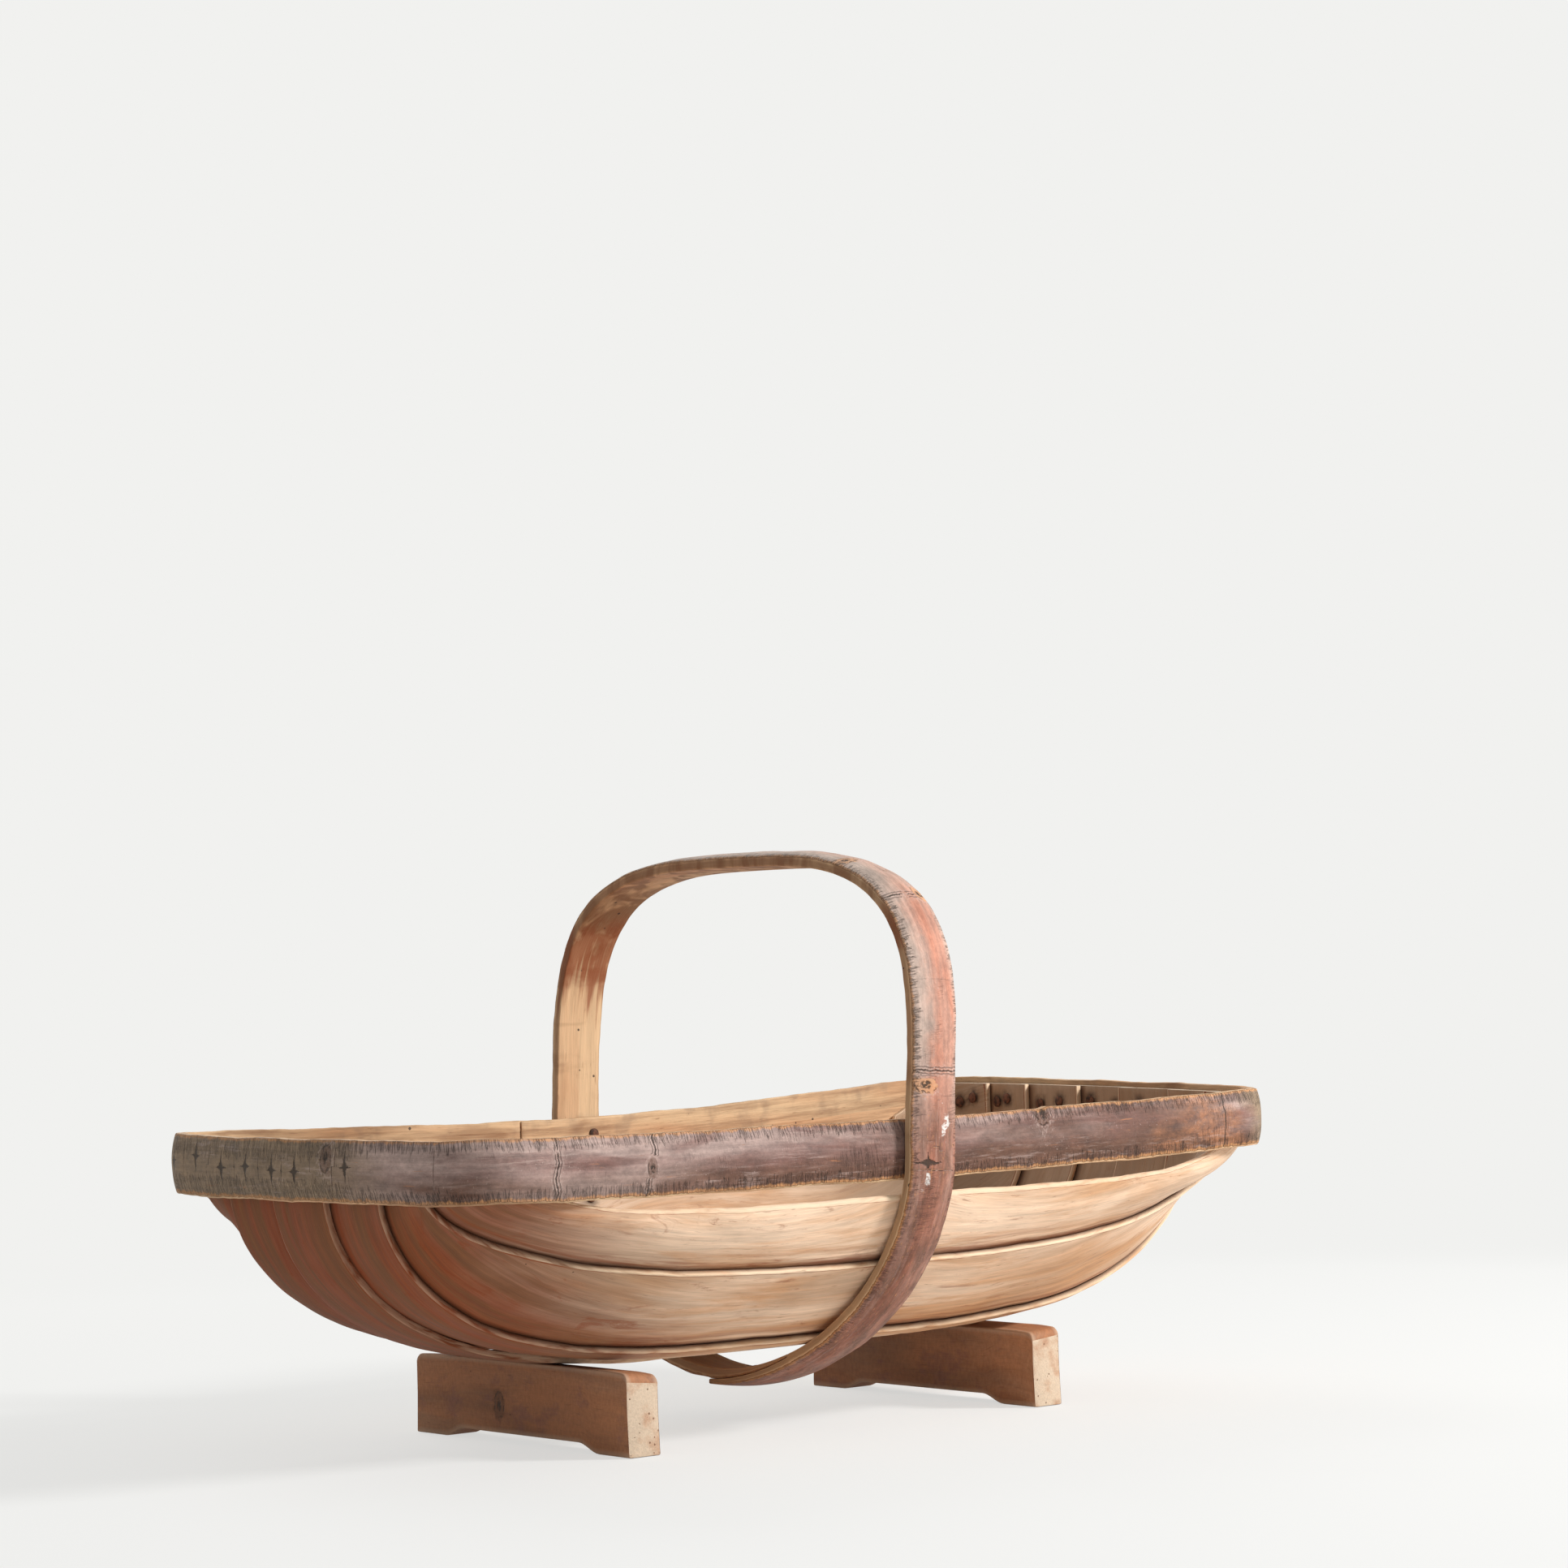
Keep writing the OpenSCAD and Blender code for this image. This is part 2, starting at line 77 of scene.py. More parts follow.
class TrugSizes(PropertyGroup):
    trug_length: size("Length", RIM_BOX[1].x - RIM_BOX[0].x, "Length over the rim's ends")
    trug_width: size("Width", 0.344, "Width over the rim's sides at the middle")
    rim_top: size("Rim top", 0.189, "Height of the rim's top edge")
    rim_depth: size("Rim depth", 0.036, "Height of the rim band")
    rim_thickness: size("Rim thickness", 0.009, "Thickness of the rim at its crown")
    rim_dome: size("Rim dome", 0.003, "How far the rim's bark is domed")
    corner_radius: size("Corner radius", 0.042, "Radius of the rim's corners on the bark side")
    end_bulge: size("End bulge", 0.013, "How far each end bows out")
    side_bulge: size("Side bulge", 0.003, "How far each side bows out")
    near_dip: size("Near dip", 0.002, "How far the near side sags in its middle")
    near_lift: size("Near lift", 0.003, "How far the near side climbs at its right end")
    far_dip: size("Far dip", 0.006, "How far the far side sags in its middle")
    far_lift: size("Far lift", 0.010, "How far the far side climbs at its right end")
    rim_scarf: size("Rim scarf", 0.090, "Length of the rim's scarf joint")
    handle_top: size("Handle top", 0.350, "Height of the handle's crown")
    handle_width: size("Handle width", 0.034, "Width of the handle band")
    handle_thickness: size("Handle thickness", 0.0105, "Thickness of the handle at its crown")
    handle_dome: size("Handle dome", 0.0035, "How far the handle's bark is domed")
    strap_height: size("Strap height", 0.031, "Height of the strap's inner face under the boards")
    handle_lap: size("Handle lap", 0.080, "Length of the lap under the boards")
    board_thickness: size("Board thickness", 0.004, "Thickness of the boards")
    bowl_floor: size("Bowl floor", 0.0444, "Height of the bowl's underside")
    centre_board_width: size("Centre board width", 0.076, "Width of the centre board at the handle")
    centre_board_end: size("Centre board end", 0.054, "Width of the centre board at the rim")
    second_board_height: size("Second board height", 0.0545, "Height of the second boards' upper edges")
    third_board_height: size("Third board height", 0.101, "Height of the third boards' upper edges")
    side_board_height: size("Side board height", 0.1415, "Height of the side boards' upper edges")
    foot_spacing: size("Foot spacing", 0.316, "Distance between the feet, centre to centre")
    foot_length: size("Foot length", 0.215, "Length of each foot across the trug")
    foot_thickness: size("Foot thickness", 0.0225, "Thickness of each foot")
    foot_arch: size("Foot arch", 0.0055, "Height of the arch between a foot's toes")
    foot_toe: size("Foot toe", 0.030, "Length of the flat of each toe")
    nail_head: size("Nail head", 0.0075, "Diameter of a nail's head")
    nail_head_thickness: size("Nail head thickness", 0.0012, "Thickness of a nail's head")
    nail_shank: size("Nail shank", 0.0024, "Diameter of a nail's shank")
    handle_lean: FloatProperty(
        name="Handle lean", default=math.radians(3.2), subtype="ANGLE",
        description="Lean of the whole hoop toward the right end")
    lap_share: FloatProperty(
        name="Lap share", default=0.2, min=0.1, max=0.3,
        description="Share of a board's width that lies inside the next lower board")
    ring_spacing: size("Ring spacing", 0.0028, "Distance between two rings of a swept piece")
    worn_edge: size("Worn edge", 0.0009, "Width of the worn edge of a board or band")
    nail_sides: IntProperty(
        name="Nail sides", default=22, min=8, max=48, description="Sides of a nail's round head")


class TrugColours(PropertyGroup):
    purple_bark: tint("Purple bark", "7a5850", "Bark of the rim's long sides")
    rim_brown: tint("Rim brown", "634433", "Bark along the rim's lower edge")
    grey_bark: tint("Grey bark", "8f7962", "Weathered bark of the rim's ends")
    # Silvery skin for scuffs, also laid as a painted sheen on the rim's upper half
    scuffed_bark_and_sheen: tint("Scuffed bark", "c5ada3", "Silvery skin where the bark is scuffed")
    orange_bark: tint("Orange bark", "b47850", "Inner bark where the skin is lost")
    crack: tint("Crack", "33281f", "Dirt in cracks and holes")
    red_bark: tint("Red bark", "bf7f66", "Bark of the handle's upper part")
    brown_bark: tint("Brown bark", "97614d", "Bark of the handle's lower part")
    handle_grey: tint("Handle grey", "bfaea1", "Grey skin along the handle's edges")
    honey_edge: tint("Honey edge", "cf9460", "Torn edge of the bark")
    white_scuff: tint("White scuff", "e9e6e0", "White scuffs on the handle")
    cleft_wood: tint("Cleft wood", "e0bd94", "Pale wood inside the bands")
    cleft_grime: tint("Cleft grime", "7d5233", "Reddish grime on cleft wood")
    pale_board: tint("Pale board", "f2d3b6", "Clean wood of the boards")
    tan_board: tint("Tan board", "cf9f76", "Browner wood of the boards")
    red_board: tint("Red board", "863a12", "Dark wood of the boards' left ends")
    # Paler wood of the lips: partly wear, partly a painted highlight on the edges
    lip_wear_and_highlight: tint("Lip", "ead2b2", "Worn lips of the boards")
    # Dark colour where one board laps another: grime and painted shade
    lap_dirt_and_shade: tint("Lap dirt", "54321f", "Dirt where one board laps another")
    grey_stain: tint("Grey stain", "a0846b", "Weather stains on bare wood")
    foot_wood: tint("Foot wood", "ac7652", "Sides of the feet")
    foot_stain: tint("Foot stain", "7d5850", "Purplish stains on the feet")
    foot_dark: tint("Foot dark", "6e4c36", "Dark stains on the feet")
    end_grain: tint("End grain", "cfbaa2", "End grain of the feet")
    rust: tint("Rust", "7a4f3a", "Nail heads")
    rust_dark: tint("Dark rust", "3c2a21", "Pits in the nail heads and the stain round them")
    floor: tint("Floor", "f1f1ef", "Floor and background")


# Curves that the pieces follow

def ramp(value):
    return np.clip(value, 0.0, 1.0)


def mix(a, b, share):
    return a + (b - a)*share


def smoothstep(value, low, high):
    t = ramp((value - low)/(high - low))
    return t*t*(3 - 2*t)


def ripple(value, seed, wave):
    """A smooth wandering value from -1 to 1 whose bends are about one wave long."""
    steps = np.random.RandomState(seed).uniform(0, 2*math.pi, 4)
    rates = (1.0, 1.73, 2.61, 0.57)
    return sum(np.sin(value*rate*2*math.pi/wave + step) for rate, step in zip(rates, steps))/4


def smooth(entries, g):
    """A smooth value between the entries of a list, where g = 0 is its second entry."""
    entries = np.asarray(entries, float)
    g = np.asarray(g, float)
    k = np.clip(np.floor(g), 0, len(entries) - 4).astype(int)
    f = g - k
    a, b, c, d = (entries[k + i] for i in range(4))
    return 0.5*(2*b + (c - a)*f + (2*a - 5*b + 4*c - d)*f*f + (3*b - a - 3*c + d)*f**3)


def unit(v):
    return v/np.linalg.norm(v, axis=-1, keepdims=True)


class Lines:
    """The trug's curves, worked out from its sizes: rim outline, hoop and bowl."""

    clear = 0.00025
    head_seat = 0.00035
    corner_seat = 0.0006
    tip = 0.0015
    handle_x = 0.0056

    def __init__(self, sizes):
        s = self.s = sizes
        self.inner_a = s.trug_length/2 - s.rim_thickness - s.end_bulge
        self.inner_b = s.trug_width/2 - s.rim_thickness - s.side_bulge
        self.inner_r = s.corner_radius - s.rim_thickness
        self.end_run = self.inner_b - self.inner_r
        self.corner_run = self.inner_r*math.pi/2
        self.side_run = self.inner_a - self.inner_r
        self.quarter = self.end_run + self.corner_run + self.side_run
        self.rim_low = s.rim_top - s.rim_depth
        self.rim_edge = s.rim_thickness - s.rim_dome
        self.handle_edge = s.handle_thickness - s.handle_dome
        self.hoop_half = s.trug_width/2 + self.clear
        self.hoop_low = s.rim_top - 0.026
        self.hoop_high = s.rim_top + 0.026
        self.hoop_down = self.hoop_low - s.strap_height
        self.hoop_up = s.handle_top - s.handle_thickness - self.hoop_high
        self.seat_z = s.rim_top - 0.024
        self.lap_step = (s.board_thickness + self.clear)*(1 + s.lap_share)
        lift = s.handle_width/2*math.sin(s.handle_lean) + 0.0002
        heights = (s.second_board_height, s.third_board_height, s.side_board_height)
        inside = [self.hoop_inside(z - lift) - self.clear for z in heights]
        beyond = self.hoop_inside(s.side_board_height) + 0.002
        half = s.centre_board_width/2
        self.edge_y = [-half, 0, half, *inside, beyond]
        floor = s.bowl_floor
        self.edge_z = [floor + 0.0012, floor, floor + 0.0012, *heights, s.side_board_height + 0.034]
        corner = self.end_run + self.corner_run
        self.edge_end = [-s.centre_board_end/2, 0, s.centre_board_end/2, 0.62*self.end_run,
                         0.9*self.end_run, corner + 0.008, corner + 0.040]
        self.edge_power = [4, 4, 4, 4, 3, 5, 5]
        self.edge_turn = [2.5, 2.5, 2.5, 2.5, 2.5, 1.4, 1.4]

    def quarter_point(self, d):
        """A point of one quarter of the rim's inner outline, d along it from the middle of an end."""
        turn = math.pi/2*ramp((d - self.end_run)/self.corner_run)
        past = np.maximum(0, d - self.end_run - self.corner_run)
        x = self.side_run + self.inner_r*np.cos(turn) - past
        y = np.minimum(d, self.end_run) + self.inner_r*np.sin(turn)
        x_out = x + self.s.end_bulge*(1 - (y/self.inner_b)**2)*ramp(2*x/self.inner_a)
        y_out = y + self.s.side_bulge*(1 - (x/self.inner_a)**2)*ramp(2*y/self.inner_b)
        return np.stack([x_out, y_out], -1)

    def plan(self, q):
        """A point of the whole outline, counter-clockwise from the middle of the right end."""
        w = np.mod(q, 4*self.quarter)
        k = np.floor(w/self.quarter)
        m = w - k*self.quarter
        p = self.quarter_point(np.where(k % 2 == 0, m, self.quarter - m))
        across = np.where((k == 0) | (k == 3), 1.0, -1.0)
        up = np.where(k < 2, 1.0, -1.0)
        return p*np.stack([across, up], -1)

    def plan_normal(self, q):
        d = unit(self.plan(q + 0.0005) - self.plan(q - 0.0005))
        return np.stack([d[..., 1], -d[..., 0]], -1)

    def rise(self, x, y):
        """How far the rim stands above its level: it sags at mid length and climbs at the right."""
        u = ramp(np.abs(2*x/self.s.trug_length))
        far = ramp(0.5 + y/self.s.trug_width)
        sag = (1 - u*u)**2
        climb = np.where(x > 0, u**1.5, 0)
        near_side = self.s.near_lift*climb - self.s.near_dip*sag
        far_side = self.s.far_lift*climb - self.s.far_dip*sag
        return mix(near_side, far_side, far)

    def hoop_point(self, degrees):
        """A point of the hoop's inner face, as height and distance across."""
        a = np.radians(degrees)
        c, t = np.cos(a), np.sin(a)
        power = np.where(t < 0, 1.87, 3.3)
        reach = np.abs(t)**(2/power)
        y = np.sign(c)*self.hoop_half*np.abs(c)**(2/power)
        z = np.where(t < 0, self.hoop_low - self.hoop_down*reach, self.hoop_high + self.hoop_up*reach)
        return np.stack([y, z], -1)

    def hoop_normal(self, degrees):
        d = unit(self.hoop_point(degrees + 0.5) - self.hoop_point(degrees - 0.5))
        return np.stack([d[..., 1], -d[..., 0]], -1)

    def hoop_inside(self, z):
        """Half width inside the hoop at a height below its straight part."""
        depth = max(0.0, self.hoop_low - z)/self.hoop_down
        return self.hoop_half*(1 - depth**1.87)**(1/1.87)

    def lean(self, points):
        """Leans points of the upright hoop about the rim's lower edge."""
        c, t = math.cos(self.s.handle_lean), math.sin(self.s.handle_lean)
        x, y, z = points[..., 0], points[..., 1], points[..., 2] - self.rim_low
        return np.stack([self.handle_x + x*c + z*t, y, self.rim_low - x*t + z*c], -1)

    def bowl(self, g, w, side):
        """A point of the bowl's outer surface, g across it in boards and w along it to an end."""
        g, w = np.broadcast_arrays(np.asarray(g, float), np.asarray(w, float))
        h = np.abs(g)
        t = ramp(np.abs(w))
        up = ramp(np.abs(w) - 1)
        end = np.sign(w)
        s = smooth(self.edge_end, h) - 0.046*up*ramp(h - 3)
        d = unit(self.quarter_point(s + 0.0005) - self.quarter_point(s - 0.0005))
        gap = (self.clear + 0.00035*ramp(h - 3))[..., None]
        e = self.quarter_point(s) - gap*np.stack([d[..., 1], -d[..., 0]], -1)
        across = side*np.where(g < 0, -1.0, 1.0)
        seat = self.seat_z + self.rise(end*e[..., 0], across*e[..., 1])
        along = np.sin(math.pi/2*t)**(2/smooth(self.edge_power, h))
        z = seat - (seat - smooth(self.edge_z, h))*np.cos(math.pi/2*t)
        z = z + up*(self.s.rim_top - 0.004 - self.seat_z)
        slant = -0.0025*ramp(h - 3)*w*4*(1 - t)*t
        y = across*mix(smooth(self.edge_y, h), e[..., 1], along**smooth(self.edge_turn, h))
        return np.stack([end*e[..., 0]*along, y, z + np.where(t < 1, slant, 0)], -1)

    def bowl_inward(self, g, w, side):
        """The direction into the bowl, square to its surface."""
        w = np.where((np.abs(w) > 0.97) & (np.abs(w) < 1.03), np.sign(w)*0.97, w)
        along = self.bowl(g, w + 0.02, side) - self.bowl(g, w - 0.02, side)
        across = self.bowl(g + 0.02, w, side) - self.bowl(g - 0.02, w, side)
        return -side*unit(np.cross(across, along))

    def inset(self, board, g):
        """How far a board's outer face stands inside the bowl's surface."""
        return 0*g if board == 1 else self.lap_step*(board - g)/(1 + self.s.lap_share)

    def face(self, board, g, w, side, depth):
        """A point of a board, at a depth in from its outer face."""
        inset = (self.inset(board, g) + depth)[..., None]
        return self.bowl(g, w, side) + self.bowl_inward(g, w, side)*inset

    def face_inward(self, board, g, w, side):
        t, d = self.s.board_thickness, 0.02
        along = self.face(board, g, w + d, side, t) - self.face(board, g, w - d, side, t)
        across = self.face(board, g + d, w, side, t) - self.face(board, g - d, w, side, t)
        return -side*unit(np.cross(across, along))

    def reach(self, x):
        """How far along the bowl's middle line a distance from the handle lies."""
        return math.asin((x/(self.inner_a + self.s.end_bulge - self.clear))**2)*2/math.pi


# Mesh building

def deselect_all():
    if bpy.context.object is not None and bpy.context.object.mode != "OBJECT":
        bpy.ops.object.mode_set(mode="OBJECT")
    bpy.ops.object.select_all(action="DESELECT")


def lengths_along(points):
    """Running length along a row of points."""
    steps = np.linalg.norm(np.diff(points, axis=0), axis=1)
    return np.concatenate([[0], np.cumsum(steps)])


def swept_piece(name, rings, along, across, marks=None, tones=None):
    """A strip with closed sections: a grid laid on rings of points, sewn along its seam and capped.

    The last point of each ring lies on its first. along and across are the grain coordinates of
    each point in metres, marks are offsets from the nearest knot or nail point, and tones are named
    values from 0 to 1 that the materials read."""
    rows, columns = rings.shape[:2]
    deselect_all()
    bpy.ops.mesh.primitive_grid_add(x_subdivisions=columns - 1, y_subdivisions=rows - 1, size=2)
    piece = bpy.context.object
    piece.name = name
    mesh = piece.data
    mesh.name = name
    place = np.zeros(len(mesh.vertices)*3)
    mesh.vertices.foreach_get("co", place)
    place = place.reshape(-1, 3)
    column = np.rint((place[:, 0] + 1)/2*(columns - 1)).astype(int)
    row = np.rint((place[:, 1] + 1)/2*(rows - 1)).astype(int)
    mesh.vertices.foreach_set("co", rings[row, column].ravel())
    corner = np.zeros(len(mesh.loops), int)
    mesh.loops.foreach_get("vertex_index", corner)
    grain = np.stack([along[row, column], across[row, column]], -1)[corner]
    mesh.uv_layers[0].name = "Grain"
    mesh.uv_layers["Grain"].data.foreach_set("uv", grain.ravel())
    if marks is not None:
        layer = mesh.attributes.new("mark", "FLOAT_VECTOR", "POINT")
        layer.data.foreach_set("vector", marks[row, column].ravel())
    for tone, values in (tones or {}).items():
        layer = mesh.attributes.new(tone, "FLOAT", "POINT")
        layer.data.foreach_set("value", values[row, column].astype(float))
    bpy.ops.object.mode_set(mode="EDIT")
    bpy.ops.mesh.select_all(action="SELECT")
    bpy.ops.mesh.remove_doubles(threshold=1e-6)
    bpy.ops.mesh.select_all(action="DESELECT")
    bpy.ops.mesh.select_mode(type="EDGE")
    bpy.ops.mesh.select_non_manifold()
    bpy.ops.mesh.fill_holes(sides=0)
    bpy.ops.mesh.select_all(action="SELECT")
    bpy.ops.mesh.normals_make_consistent(inside=False)
    bpy.ops.object.mode_set(mode="OBJECT")
    for polygon in mesh.polygons:
        if len(polygon.vertices) > 4:
            polygon.material_index = 1
    return piece


def blunt_ends(piece, width):
    """Rounds the rims of a strip's two end faces as use does, and shades the rest smooth."""
    corners = sorted({v for face in piece.data.polygons if face.material_index == 1 for v in face.vertices})
    ends = piece.vertex_groups.new(name="Ends")
    ends.add(corners, 1.0, "REPLACE")
    deselect_all()
    piece.select_set(True)
    bpy.context.view_layer.objects.active = piece
    bevel = piece.modifiers.new("Blunt ends", "BEVEL")
    bevel.limit_method = "VGROUP"
    bevel.vertex_group = ends.name
    bevel.width = width
    bevel.segments = 2
    bevel.use_clamp_overlap = False
    bpy.ops.object.modifier_apply(modifier=bevel.name)
    bpy.ops.object.shade_smooth_by_angle(angle=math.radians(40))


def finish_piece(piece, materials, slot, *nodes):
    """Gives a piece its materials and fixes it to the trug in place of the plain solids."""
    for material in materials:
        piece.data.materials.append(material)
    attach(piece, "root")
    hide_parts(*nodes)


def nearest_marks(along, across, marks):
    """For each point the offset to the nearest mark, with the mark's kind as third value."""
    places = np.array([m[:2] for m in marks])
    kinds = np.array([m[2] for m in marks])
    du = along[..., None] - places[:, 0]
    dv = across[..., None] - places[:, 1]
    nearest = np.argmin(du*du + dv*dv, axis=-1)
    pick = np.take_along_axis
    index = nearest[..., None]
    return np.stack([pick(du, index, -1)[..., 0], pick(dv, index, -1)[..., 0], kinds[nearest]], -1)


def band_section(inner, edge, dome, width, worn):
    """Outlines of a band from the middle of its inner face, up and round the bark, and back.

    inner, edge and dome give each ring's offsets from the line that the band follows. Returns the
    offsets and the heights of the points, ring by ring."""
    r = np.minimum(worn, 0.4*(edge - inner))[:, None]
    inner, edge, dome = inner[:, None], edge[:, None], dome[:, None]
    turn = np.linspace(0, math.pi/2, 5)[None]
    ones = np.ones_like(inner)
    flat = np.linspace(0.5, 1, 7)[None, :-1]
    bark = np.linspace(1, 0, 30)[None, 1:-1]
    side = np.linspace(0, 1, 3)[None, 1:-1]
    inner_low, inner_high = inner*ones, width - r
    top_corner = inner + r*(1 - np.cos(turn)), width - r + r*np.sin(turn)
    top_edge = mix(inner + r, edge - r, side), width + 0*side*ones
    top_bark = edge - r*(1 - np.sin(turn)), width - r + r*np.cos(turn)
    face = edge + 0*bark, mix(0*r + r, width - r, bark)
    parts = [(inner_low + 0*flat, mix(r, inner_high, flat)), top_corner, top_edge, top_bark, face]
    for offset, height in (top_bark, top_edge, top_corner):
        parts.append((offset[:, ::-1], width - height[:, ::-1]))
    parts.append((inner_low + 0*flat, mix(r, inner_high, 1 - flat[:, ::-1])))
    parts.append((inner_low, 0*inner + width/2))
    offset = np.concatenate([part[0]*ones for part in parts], 1)
    height = np.concatenate([part[1]*ones for part in parts], 1)
    share = height/width
    on_bark = ramp((offset - inner)/(edge - inner))**3
    return offset + dome*4*share*(1 - share)*on_bark, height


def round_section(offset, height):
    """Distance of each point of a section round from the crown of its bark, upward positive."""
    run = lengths_along(np.stack([offset, height], -1))
    return run[np.argmax(offset)] - run


def bark_edges(height, width, along, seeds, reach):
    """Lets a band's two edges wander as cleft edges do; returns the new heights."""
    upper = reach*(ripple(along, seeds, 0.17) + 0.35*ripple(along, seeds + 1, 0.034))
    lower = reach*(ripple(along, seeds + 2, 0.19) + 0.35*ripple(along, seeds + 3, 0.031))
    share = height/width
    return height + share**3*upper[:, None] + (1 - share)**3*lower[:, None]


def bark_lumps(offset, edge, along, across, seeds, depth):
    """Sinks a band's bark here and there, never above its nominal face."""
    broad = ripple(along, seeds, 0.11)[:, None] + 0.6*np.sin(across/0.006 + 9*ripple(along, seeds + 1, 0.3)[:, None])
    fine = 0.5*ripple(along, seeds + 2, 0.023)[:, None]*np.cos(across/0.004)
    sink = depth*ramp(0.5 + 0.35*(broad + fine))
    return offset - sink*ramp(4*(offset/edge[:, None] - 0.75))


# Node building

def put(tree, kind, settings=None, **inputs):
    """Adds a node; inputs are values or sockets, with underscores for spaces in their names."""
    node = tree.nodes.new("ShaderNode" + kind)
    for name, value in (settings or {}).items():
        setattr(node, name, value)
    for name, value in inputs.items():
        socket = node.inputs[int(name[1:])] if name[0] == "i" and name[1:].isdigit() \
            else node.inputs[name.replace("_", " ")]
        if isinstance(value, bpy.types.NodeSocket):
            tree.links.new(value, socket)
        else:
            socket.default_value = value
    return node


def calc(tree, operation, a, b=0.0, c=0.0, clamp=False):
    return put(tree, "Math", {"operation": operation, "use_clamp": clamp}, i0=a, i1=b, i2=c).outputs[0]


def blend(tree, share, a, b, kind="MIX"):
    """Mixes two colours; a and b are colours or sockets."""
    node = put(tree, "Mix", {"data_type": "RGBA", "blend_type": kind, "clamp_factor": True}, i0=share)
    for index, value in ((6, a), (7, b)):
        if isinstance(value, bpy.types.NodeSocket):
            tree.links.new(value, node.inputs[index])
        else:
            node.inputs[index].default_value = (*value, 1)
    return node.outputs[2]


def step(tree, value, low, high, top=1.0):
    """A soft step that is 0 below low and top above high, or the other way round if low > high."""
    settings = {"interpolation_type": "SMOOTHSTEP", "clamp": True}
    if low > high:
        node = put(tree, "MapRange", settings, Value=value, From_Min=high, From_Max=low, To_Min=top, To_Max=0.0)
    else:
        node = put(tree, "MapRange", settings, Value=value, From_Min=low, From_Max=high, To_Min=0.0, To_Max=top)
    return node.outputs["Result"]


def stretched(tree, vector, scale, shift=(0, 0, 0)):
    return put(tree, "Mapping", None, Vector=vector, Scale=scale, Location=shift).outputs[0]


def fog(tree, vector, scale=1.0, detail=3.0, roughness=0.5, distortion=0.0):
    """Noise from 0 to 1 at a vector."""
    node = put(tree, "TexNoise", None, Vector=vector, Scale=scale, Detail=detail,
               Roughness=roughness, Distortion=distortion)
    return node.outputs["Fac"]


def new_group(name, inputs, outputs):
    """An empty node group with named inputs and outputs; returns it with its two end nodes."""
    tree = bpy.data.node_groups.new(name, "ShaderNodeTree")
    for label, kind in inputs:
        tree.interface.new_socket(label, in_out="INPUT", socket_type="NodeSocket" + kind)
    for label in outputs:
        tree.interface.new_socket(label, in_out="OUTPUT", socket_type="NodeSocketFloat")
    return tree, tree.nodes.new("NodeGroupInput"), tree.nodes.new("NodeGroupOutput")


def grain_group():
    """Lengthwise grain: broad tone, streaks, fine lines and their height, on grain coordinates."""
    if "Lengthwise grain" in bpy.data.node_groups:
        return bpy.data.node_groups["Lengthwise grain"]
    tree, start, end = new_group(
        "Lengthwise grain", [("Grain", "Vector")], ["Broad", "Streak", "Fine", "Fleck", "Height"])
    grain = start.outputs["Grain"]
    bent = put(tree, "VectorMath", {"operation": "ADD"}, i0=grain, i1=put(
        tree, "CombineXYZ", None, Y=calc(tree, "MULTIPLY", fog(
            tree, stretched(tree, grain, (9, 22, 1)), detail=1), 0.006)).outputs[0]).outputs[0]
    broad = fog(tree, stretched(tree, bent, (5, 26, 1)), detail=4, distortion=0.6)
    streak = fog(tree, stretched(tree, bent, (11, 190, 1)), detail=4, roughness=0.6)
    fine = fog(tree, stretched(tree, bent, (46, 1100, 1)), detail=3, roughness=0.65)
    fleck = fog(tree, stretched(tree, bent, (70, 620, 1)), detail=2)
    tree.links.new(broad, end.inputs["Broad"])
    tree.links.new(streak, end.inputs["Streak"])
    tree.links.new(fine, end.inputs["Fine"])
    tree.links.new(step(tree, fleck, 0.64, 0.74), end.inputs["Fleck"])
    height = calc(tree, "ADD", calc(tree, "MULTIPLY", fine, 0.6), calc(tree, "MULTIPLY", streak, 0.8))
    tree.links.new(height, end.inputs["Height"])
    return tree


def hole_group():
    """Worm holes: small dark dots, few or many, in object space."""
    if "Worm holes" in bpy.data.node_groups:
        return bpy.data.node_groups["Worm holes"]
    tree, start, end = new_group(
        "Worm holes", [("Place", "Vector"), ("Spacing", "Float"), ("Radius", "Float")], ["Hole"])
    cells = put(tree, "TexVoronoi", {"feature": "F1"}, Vector=start.outputs["Place"],
                Scale=calc(tree, "DIVIDE", 1.0, start.outputs["Spacing"]), Randomness=1.0)
    reach = calc(tree, "MULTIPLY", cells.outputs["Distance"], start.outputs["Spacing"])
    kept = put(tree, "SeparateColor", None, Color=cells.outputs["Color"]).outputs[0]
    inside = calc(tree, "LESS_THAN", reach, calc(tree, "MULTIPLY", start.outputs["Radius"], kept))
    tree.links.new(inside, end.inputs["Hole"])
    return tree


